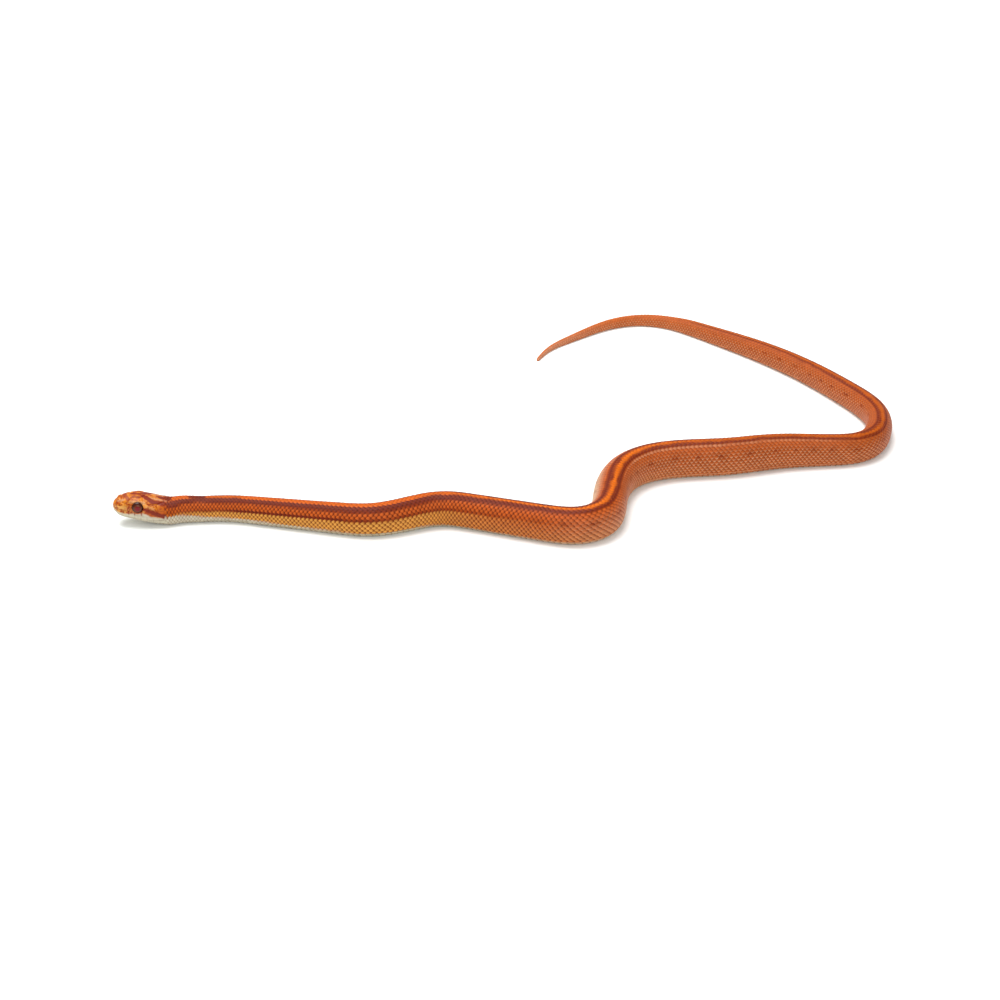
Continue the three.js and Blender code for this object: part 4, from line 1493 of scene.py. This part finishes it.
class SharedGroups:
    """The node groups that more than one finish uses, each made once."""

    def __init__(self, total_length: float) -> None:
        """Makes the groups, for an animal of this length in millimetres."""
        self.total_length = total_length
        self.grain = self._grain()
        self.colouring = self._colouring()

    @staticmethod
    def _grain() -> bpy.types.NodeTree:
        """Fine unevenness of skin, in waves per metre: a height, a soft cloudiness and small patches."""
        pen, given, out = new_group(
            "Skin grain", ("Size",), [("Height", FLOAT), ("Cloud", FLOAT), ("Mottle", FLOAT)]
        )
        place = pen.add("ShaderNodeTexCoord").outputs["Object"]
        size = given.outputs["Size"]
        pen.put(out.inputs["Height"], pen.noise(place, pen.times(size, 2600.0), 3.0))
        pen.put(out.inputs["Cloud"], pen.noise(place, pen.times(size, 420.0), 2.0))
        patches = pen.rise(pen.noise(place, pen.times(size, 950.0), 2.0), 0.38, 0.56)
        specks = pen.rise(pen.noise(place, pen.times(size, 3000.0), 1.0), 0.3, 0.56)
        pen.put(out.inputs["Mottle"], pen.times(patches, specks))
        return pen.tree

    def _colouring(self) -> bpy.types.NodeTree:
        """The animal's colour from its markings, its scale rims and the distance along it."""
        pen, given, out = new_group("Snake colouring", COLOUR_INPUTS, [("Colour", COLOUR)])
        read = given.outputs
        share = pen.math("DIVIDE", read["Along"], self.total_length)
        side = pen.math("ABSOLUTE", read["Around"])
        grain = pen.group(self.grain, Size=1.0).outputs
        colour = self._ground(pen, read, share, side)
        on_head = pen.rise(read["Along"], 17.0, 12.5)
        light = pen.times(on_head, pen.rise(grain["Cloud"], 0.5, 0.64), 0.45)
        colour = pen.mix(light, colour, ColourName.CROWN_LIGHT)
        speckled = pen.times(on_head, grain["Mottle"], pen.rest(read["Pale"]), 0.95)
        colour = pen.mix(speckled, colour, ColourName.MOTTLE)
        dark = pen.ramp(
            share,
            [
                (0.0, ColourName.CROWN_BLOTCH),
                (0.05, ColourName.DARK),
                (0.35, ColourName.DARK),
                (0.6, ColourName.DARK_REAR),
            ],
        )
        belly = pen.ramp(
            share,
            [(0.0, ColourName.LIP), (0.2, ColourName.BELLY), (0.34, ColourName.BELLY_REAR)],
        )
        colour = pen.mix(read["Pale"], colour, belly)
        colour = pen.mix(read["Dark"], colour, dark)
        colour = self._rimmed(pen, read, share, side, colour)
        bright = pen.plus(pen.times(read["Tint"], 0.11), 0.57, pen.times(grain["Cloud"], 0.11))
        colour = pen.shade(colour, bright, 1.06)
        colour = pen.mix(pen.times(read["Seam"], 0.12), colour, ColourName.OUTLINE)
        # Painted shade along the line of the shut mouth.
        colour = pen.mix(pen.times(read["Mouth"], 0.7), colour, ColourName.MOUTH)
        pen.put(out.inputs["Colour"], colour)
        return pen.tree

    @staticmethod
    def _ground(pen: Nodes, read: object, share: object, side: object) -> bpy.types.NodeSocket:
        """Lays the colours of crown, back stripe and flanks, before any dark mark."""
        flank = pen.ramp(
            share,
            [
                # Palest at the snout's tip, partly a painted highlight.
                (0.0, ColourName.SNOUT_AND_HIGHLIGHT),
                (0.024, ColourName.TEMPLE),
                (0.05, ColourName.FLANK_FRONT),
                (0.3, ColourName.FLANK_FRONT),
                (0.5, ColourName.FLANK_REAR),
                (0.8, ColourName.FLANK_REAR),
                (0.9, ColourName.TAIL),
                (1.0, ColourName.TAIL_TIP),
            ],
        )
        crown = pen.times(pen.rise(read["Along"], 13.5, 11.0), pen.rise(side, 0.42, 0.3))
        flank = pen.mix(crown, flank, ColourName.CROWN)
        low = pen.ramp(
            share,
            [(0.2, ColourName.GOLD), (0.34, ColourName.LOW_MIDDLE), (0.55, ColourName.LOW_REAR)],
        )
        lower = pen.times(pen.rise(side, 0.42, 0.62), pen.rise(share, 0.2, 0.35), 0.7)
        flank = pen.mix(lower, flank, low)
        flank = pen.mix(read["Gold"], flank, low)
        stripe = pen.ramp(
            share,
            [
                (0.2, ColourName.STRIPE_FRONT),
                (0.3, ColourName.STRIPE),
                (0.41, ColourName.STRIPE),
                (0.48, ColourName.STRIPE_REAR),
                (0.7, ColourName.STRIPE_REAR),
                (0.9, ColourName.STRIPE_TAIL),
            ],
        )
        return pen.mix(read["Stripe"], flank, stripe)

    @staticmethod
    def _rimmed(
        pen: Nodes, read: object, share: object, side: object, colour: object
    ) -> bpy.types.NodeSocket:
        """Draws the dark and pale parts of each scale's rim; on the dark band the pale part is a painted
        highlight.
        """
        rear = pen.rise(share, 0.25, 0.45)
        outline = pen.mix(rear, ColourName.OUTLINE, ColourName.OUTLINE_REAR)
        golden = pen.math("MAXIMUM", read["Gold"], read["Pale"])
        outline = pen.mix(golden, outline, ColourName.OUTLINE_GOLD)
        firm = pen.math("SUBTRACT", 0.95, pen.times(read["Pale"], 0.4))
        plain_stripe = pen.rest(pen.times(read["Stripe"], 0.6))
        tail = pen.rest(pen.times(pen.rise(share, 0.8, 0.92), 0.5))
        colour = pen.mix(pen.times(read["Edge"], firm, plain_stripe, tail), colour, outline)
        # On the dark band the pale part of each rim is a painted highlight; on the lower flanks further back
        # it is the scales' own pale edge.
        highlight_on_dark = pen.times(read["Dark"], 0.45)
        low_rear = pen.times(pen.rise(share, 0.22, 0.4), pen.rise(side, 0.08, 0.45), 0.85)
        pale = pen.math("MAXIMUM", highlight_on_dark, low_rear)
        pale = pen.times(read["Shine"], pale, pen.rest(pen.times(read["Stripe"], 0.8)))
        rim = pen.mix(read["Dark"], ColourName.PALE_RIM, ColourName.DARK_BAND_HIGHLIGHT)
        return pen.mix(pale, colour, rim)


@dataclass(frozen=True)
class ScaleFinish:
    """The satin finish of skin, scales and scutes."""

    name: str
    roughness: float
    gloss: float
    coat: float
    bump: float
    cloudiness: float = 0.16
    rim_roughness: float = 0.12
    bump_height: float = 0.05
    flesh_depth: float = 1.2

    def make(self, groups: SharedGroups) -> bpy.types.Material:
        """Makes the material."""
        material, pen, shader = new_material(self.name)
        grain = pen.group(groups.grain, Size=1.0).outputs
        read = {name: pen.attribute(name.lower()) for name in COLOUR_INPUTS}
        colour = pen.group(groups.colouring, **read).outputs["Colour"]
        cloudy = pen.times(grain["Cloud"], self.cloudiness)
        worn = pen.times(read["Edge"], self.rim_roughness)
        rough = pen.plus(cloudy, self.roughness - self.cloudiness / 2, worn)
        bump = pen.add("ShaderNodeBump")
        pen.fill(bump, Strength=self.bump, Distance=self.bump_height * MM, Height=grain["Height"])
        pen.fill(shader, Base_Color=colour, Roughness=rough, Normal=bump.outputs["Normal"])
        pen.fill(shader, Coat_Weight=self.coat, Coat_Roughness=0.28, Specular_IOR_Level=self.gloss)
        pen.fill(shader, Subsurface_Weight=0.04, Subsurface_Scale=self.flesh_depth * MM)
        pen.fill(shader, Subsurface_Radius=(1.0, 0.4, 0.2))
        return material


@dataclass(frozen=True)
class EyeFinish:
    """The wet finish of an eye: a dark red pupil in a brown-red iris, under a clear scale."""

    name: str = "eye_under_clear_scale"
    pupil_edge: float = 0.36
    pupil_blur: float = 0.05
    iris_edge: float = 0.8
    fibres: float = 46.0
    fibre_depth: float = 0.12
    roughness: float = 0.12
    refraction: float = 1.27
    coat: float = 0.08
    coat_roughness: float = 0.03

    def make(self) -> bpy.types.Material:
        """Makes the material."""
        material, pen, shader = new_material(self.name)
        reach = pen.attribute("reach")
        spokes = pen.math("SINE", pen.times(pen.attribute("turn"), self.fibres))
        fibre = pen.plus(pen.times(spokes, self.fibre_depth), 1 - self.fibre_depth)
        iris = pen.mix(pen.rise(reach, 0.5, self.iris_edge), ColourName.IRIS, ColourName.IRIS_RIM)
        inner = pen.rise(reach, self.pupil_edge - self.pupil_blur, self.pupil_edge + self.pupil_blur)
        colour = pen.mix(inner, ColourName.PUPIL, pen.shade(iris, fibre))
        pen.fill(shader, Base_Color=colour, Roughness=self.roughness, IOR=self.refraction)
        pen.fill(shader, Coat_Weight=self.coat, Coat_Roughness=self.coat_roughness)
        return material


@dataclass
class EyeBuilder:
    """Builds an eyeball in its socket."""

    form: SnakeForm
    relief: HeadRelief
    ball: float = 1.58
    thickness: float = 1.3
    depth: float = 0.74
    lowered: float = 0.1
    tilt: float = 4.0
    rings: int = 40
    columns: int = 64

    def build(self, side: Side) -> bpy.types.Object:
        """Makes one eye, with its pole looking out of the socket."""
        polar = np.linspace(0.0, math.pi, self.rings)
        turn = np.arange(self.columns) / self.columns * 2 * math.pi
        p, t = np.meshgrid(polar, turn, indexing="ij")
        back = self.ball * np.sin(p) * np.cos(t)
        up = self.ball * np.sin(p) * np.sin(t)
        out = self.thickness * np.cos(p)
        lean = math.radians(self.tilt)
        up, out = up * math.cos(lean) + out * math.sin(lean), out * math.cos(lean) - up * math.sin(lean)
        s = self.relief.eye_s
        left, level = self.form.profile(np.array(s), np.array(self.relief.eye_angle))
        a = float(self.form.heading(np.array(s)))
        foot = self.form.route[int(round(s / self.form.step))]
        aside = side.value * (float(left) - self.depth + out)
        x = foot[0] + back * math.cos(a) + aside * math.sin(a)
        y = foot[1] + back * math.sin(a) - aside * math.cos(a)
        z = float(level) - self.lowered + up
        draft = MeshDraft()
        draft.add(np.stack([x, y, z], -1), {"reach": np.clip(p / 1.1, 0, 3), "turn": t})
        faces = grid_faces(self.rings, self.columns, closed=True)
        faces = faces if side is Side.RIGHT else faces[:, ::-1]
        row, column = np.divmod(faces, self.columns)
        across_seam = (column.max(1, keepdims=True) - column) > self.columns / 2
        column = np.where(across_seam, column + self.columns, column)
        draft.face(faces, np.stack([column / self.columns, row / (self.rings - 1)], -1))
        return draft.build(f"eye_{side.name.lower()}_ball")


@dataclass(frozen=True)
class Softbox:
    """A round soft light, in metres and watts, aimed at the middle of the floor."""

    name: str
    place: tuple[float, float, float]
    size: float
    power: float

    def hang(self) -> None:
        """Hangs the light."""
        data = bpy.data.lights.new(self.name, "AREA")
        data.shape = "DISK"
        data.size = self.size
        data.energy = self.power
        light = put_in_scene(self.name, data)
        light.location = Vector(self.place)
        light.rotation_euler = (-light.location).to_track_quat("-Z", "Y").to_euler()


@dataclass
class Studio:
    """The pale floor, in metres, the soft lights, and the camera, aimed at a floor point in millimetres."""

    aim_x: float = -4.0
    aim_y: float = -43.45
    elevation: float = 28.0
    field_of_view: float = 22.0
    frame_width: float = 260.0
    floor_size: float = 6.0
    floor_tone: float = 0.93
    floor_colour: tuple[float, ...] = (0.97, 1.0, 0.99, 1.0)
    floor_light: tuple[float, ...] = (1.0, 1.0, 0.99, 1.0)
    floor_glow: float = 0.05
    surround: float = 0.5
    softboxes: tuple[Softbox, ...] = (
        Softbox("key_softbox", (-0.25, 0.14, 1.03), 0.95, 15.2),
        Softbox("front_fill", (0.1, -0.9, 0.7), 0.9, 3.3),
    )

    def camera(self) -> bpy.types.Object:
        """Sets the camera at the photograph's angle, looking at a point of the floor."""
        data = bpy.data.cameras.new("camera")
        data.sensor_fit = "HORIZONTAL"
        data.sensor_width = 36.0
        data.lens = 18.0 / math.tan(math.radians(self.field_of_view / 2))
        data.clip_start = 0.01
        camera = put_in_scene("camera", data)
        reach = self.frame_width / 2 / math.tan(math.radians(self.field_of_view / 2))
        e = math.radians(self.elevation)
        target = Vector((self.aim_x, self.aim_y, 0.0)) * MM
        camera.location = target + Vector((0.0, -math.cos(e), math.sin(e))) * reach * MM
        camera.rotation_euler = (target - camera.location).to_track_quat("-Z", "Y").to_euler()
        bpy.context.scene.camera = camera
        return camera

    def floor(self) -> bpy.types.Object:
        """Lays the pale floor."""
        mesh = bpy.data.meshes.new("studio_floor")
        h = self.floor_size / 2
        mesh.from_pydata([(-h, -h, 0), (h, -h, 0), (h, h, 0), (-h, h, 0)], [], [(0, 1, 2, 3)])
        floor = put_in_scene("studio_floor", mesh)
        material, pen, shader = new_material("pale_floor")
        place = pen.add("ShaderNodeTexCoord").outputs["Object"]
        tone = pen.plus(pen.times(pen.noise(place, 3.0), 0.02), self.floor_tone)
        colour = pen.mix(tone, (0.0, 0.0, 0.0, 1.0), self.floor_colour)
        pen.fill(shader, Base_Color=colour, Roughness=0.9, Specular_IOR_Level=0.1)
        pen.fill(shader, Emission_Color=self.floor_light, Emission_Strength=self.floor_glow)
        floor.data.materials.append(material)
        floor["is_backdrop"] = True
        return floor

    def lights(self) -> None:
        """Hangs the lights and sets the pale surround."""
        for softbox in self.softboxes:
            softbox.hang()
        world = bpy.data.worlds.new("pale_surround")
        world.use_nodes = True
        light = world.node_tree.nodes["Background"].inputs
        light["Color"].default_value = (1.0, 1.0, 1.0, 1.0)
        light["Strength"].default_value = self.surround
        bpy.context.scene.world = world
        bpy.context.scene.view_settings.view_transform = "Standard"


TRUNK_NODES = ("neck", *(f"torso_{i}" for i in range(1, 11)), *(f"tail_{i}" for i in range(1, 4)))
COAT_PARTS = (
    ("neck_scales", 0.0, 52.0),
    ("shoulder_scales", 52.0, 94.0),
    ("front_scales", 94.0, 136.0),
    ("middle_scales", 136.0, 178.0),
    ("rear_scales", 178.0, 220.0),
    ("hind_scales", 220.0, 264.0),
    ("vent_scales", 264.0, 315.0),
    ("tail_scales", 315.0, 400.0),
)


class SnakeModel:
    """The whole animal: its skin, coat, belly and eyes, and the finishes they wear."""

    def __init__(self) -> None:
        """Works out the shape and makes the shared finishes."""
        self.form = SnakeForm()
        self.relief = HeadRelief(self.form)
        self.unwrap = Unwrap(self.form.total_length)
        self.markings = Markings()
        groups = SharedGroups(self.form.total_length)
        self.skin_finish = ScaleFinish("soft_skin", 0.42, 0.24, 0.0, 0.25).make(groups)
        self.scale_finish = ScaleFinish("satin_scales", 0.46, 0.14, 0.0, 0.15).make(groups)
        self.eye_finish = EyeFinish().make()

    def _mark(self, piece: bpy.types.Object) -> None:
        """Writes the markings on a piece from the places its points carry."""
        mesh = piece.data
        count = len(mesh.vertices)
        along, around = np.empty(count, np.float32), np.empty(count, np.float32)
        mesh.attributes["along"].data.foreach_get("value", along)
        mesh.attributes["around"].data.foreach_get("value", around)
        for name, share in self.markings.shares(along.astype(float), around.astype(float)).items():
            attribute = mesh.attributes.new(name, "FLOAT", "POINT")
            attribute.data.foreach_set("value", share.astype(np.float32))

    def _dress(self, piece: bpy.types.Object, material: bpy.types.Material) -> None:
        """Gives a piece its finish and fixes it to the body."""
        piece.data.materials.append(material)
        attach(piece, "root")
        LOG.info("%s: %d faces", piece.name, len(piece.data.polygons))

    def build(self) -> None:
        """Makes every piece in order."""
        skin = SkinBuilder(self.form, self.relief, self.unwrap).build()
        self._mark(skin)
        self._dress(skin, self.skin_finish)
        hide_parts("head", "jaw", *TRUNK_NODES)
        coat = ScaleCoat(self.form, self.relief, self.unwrap)
        for piece in coat.build(COAT_PARTS):
            self._mark(piece)
            self._dress(piece, self.scale_finish)
        belly = BellyScutes(self.form, coat, self.unwrap).build()
        self._mark(belly)
        self._dress(belly, self.scale_finish)
        eyes = EyeBuilder(self.form, self.relief)
        for side in Side:
            eye = eyes.build(side)
            self._dress(eye, self.eye_finish)
            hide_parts(f"eye_{side.name.lower()}")


def main() -> None:
    """Loads the frame, builds the animal and the studio, and works out the sizes."""
    logging.basicConfig(level=logging.INFO, format="%(message)s")
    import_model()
    frame_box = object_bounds()
    studio = Studio()
    studio.camera()
    studio.floor()
    studio.lights()
    SnakeModel().build()
    boxes = {"cad": frame_box, "visual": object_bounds()}
    plain = {name: [[float(v) for v in corner] for corner in box] for name, box in boxes.items()}


if __name__ == "__main__":
    main()
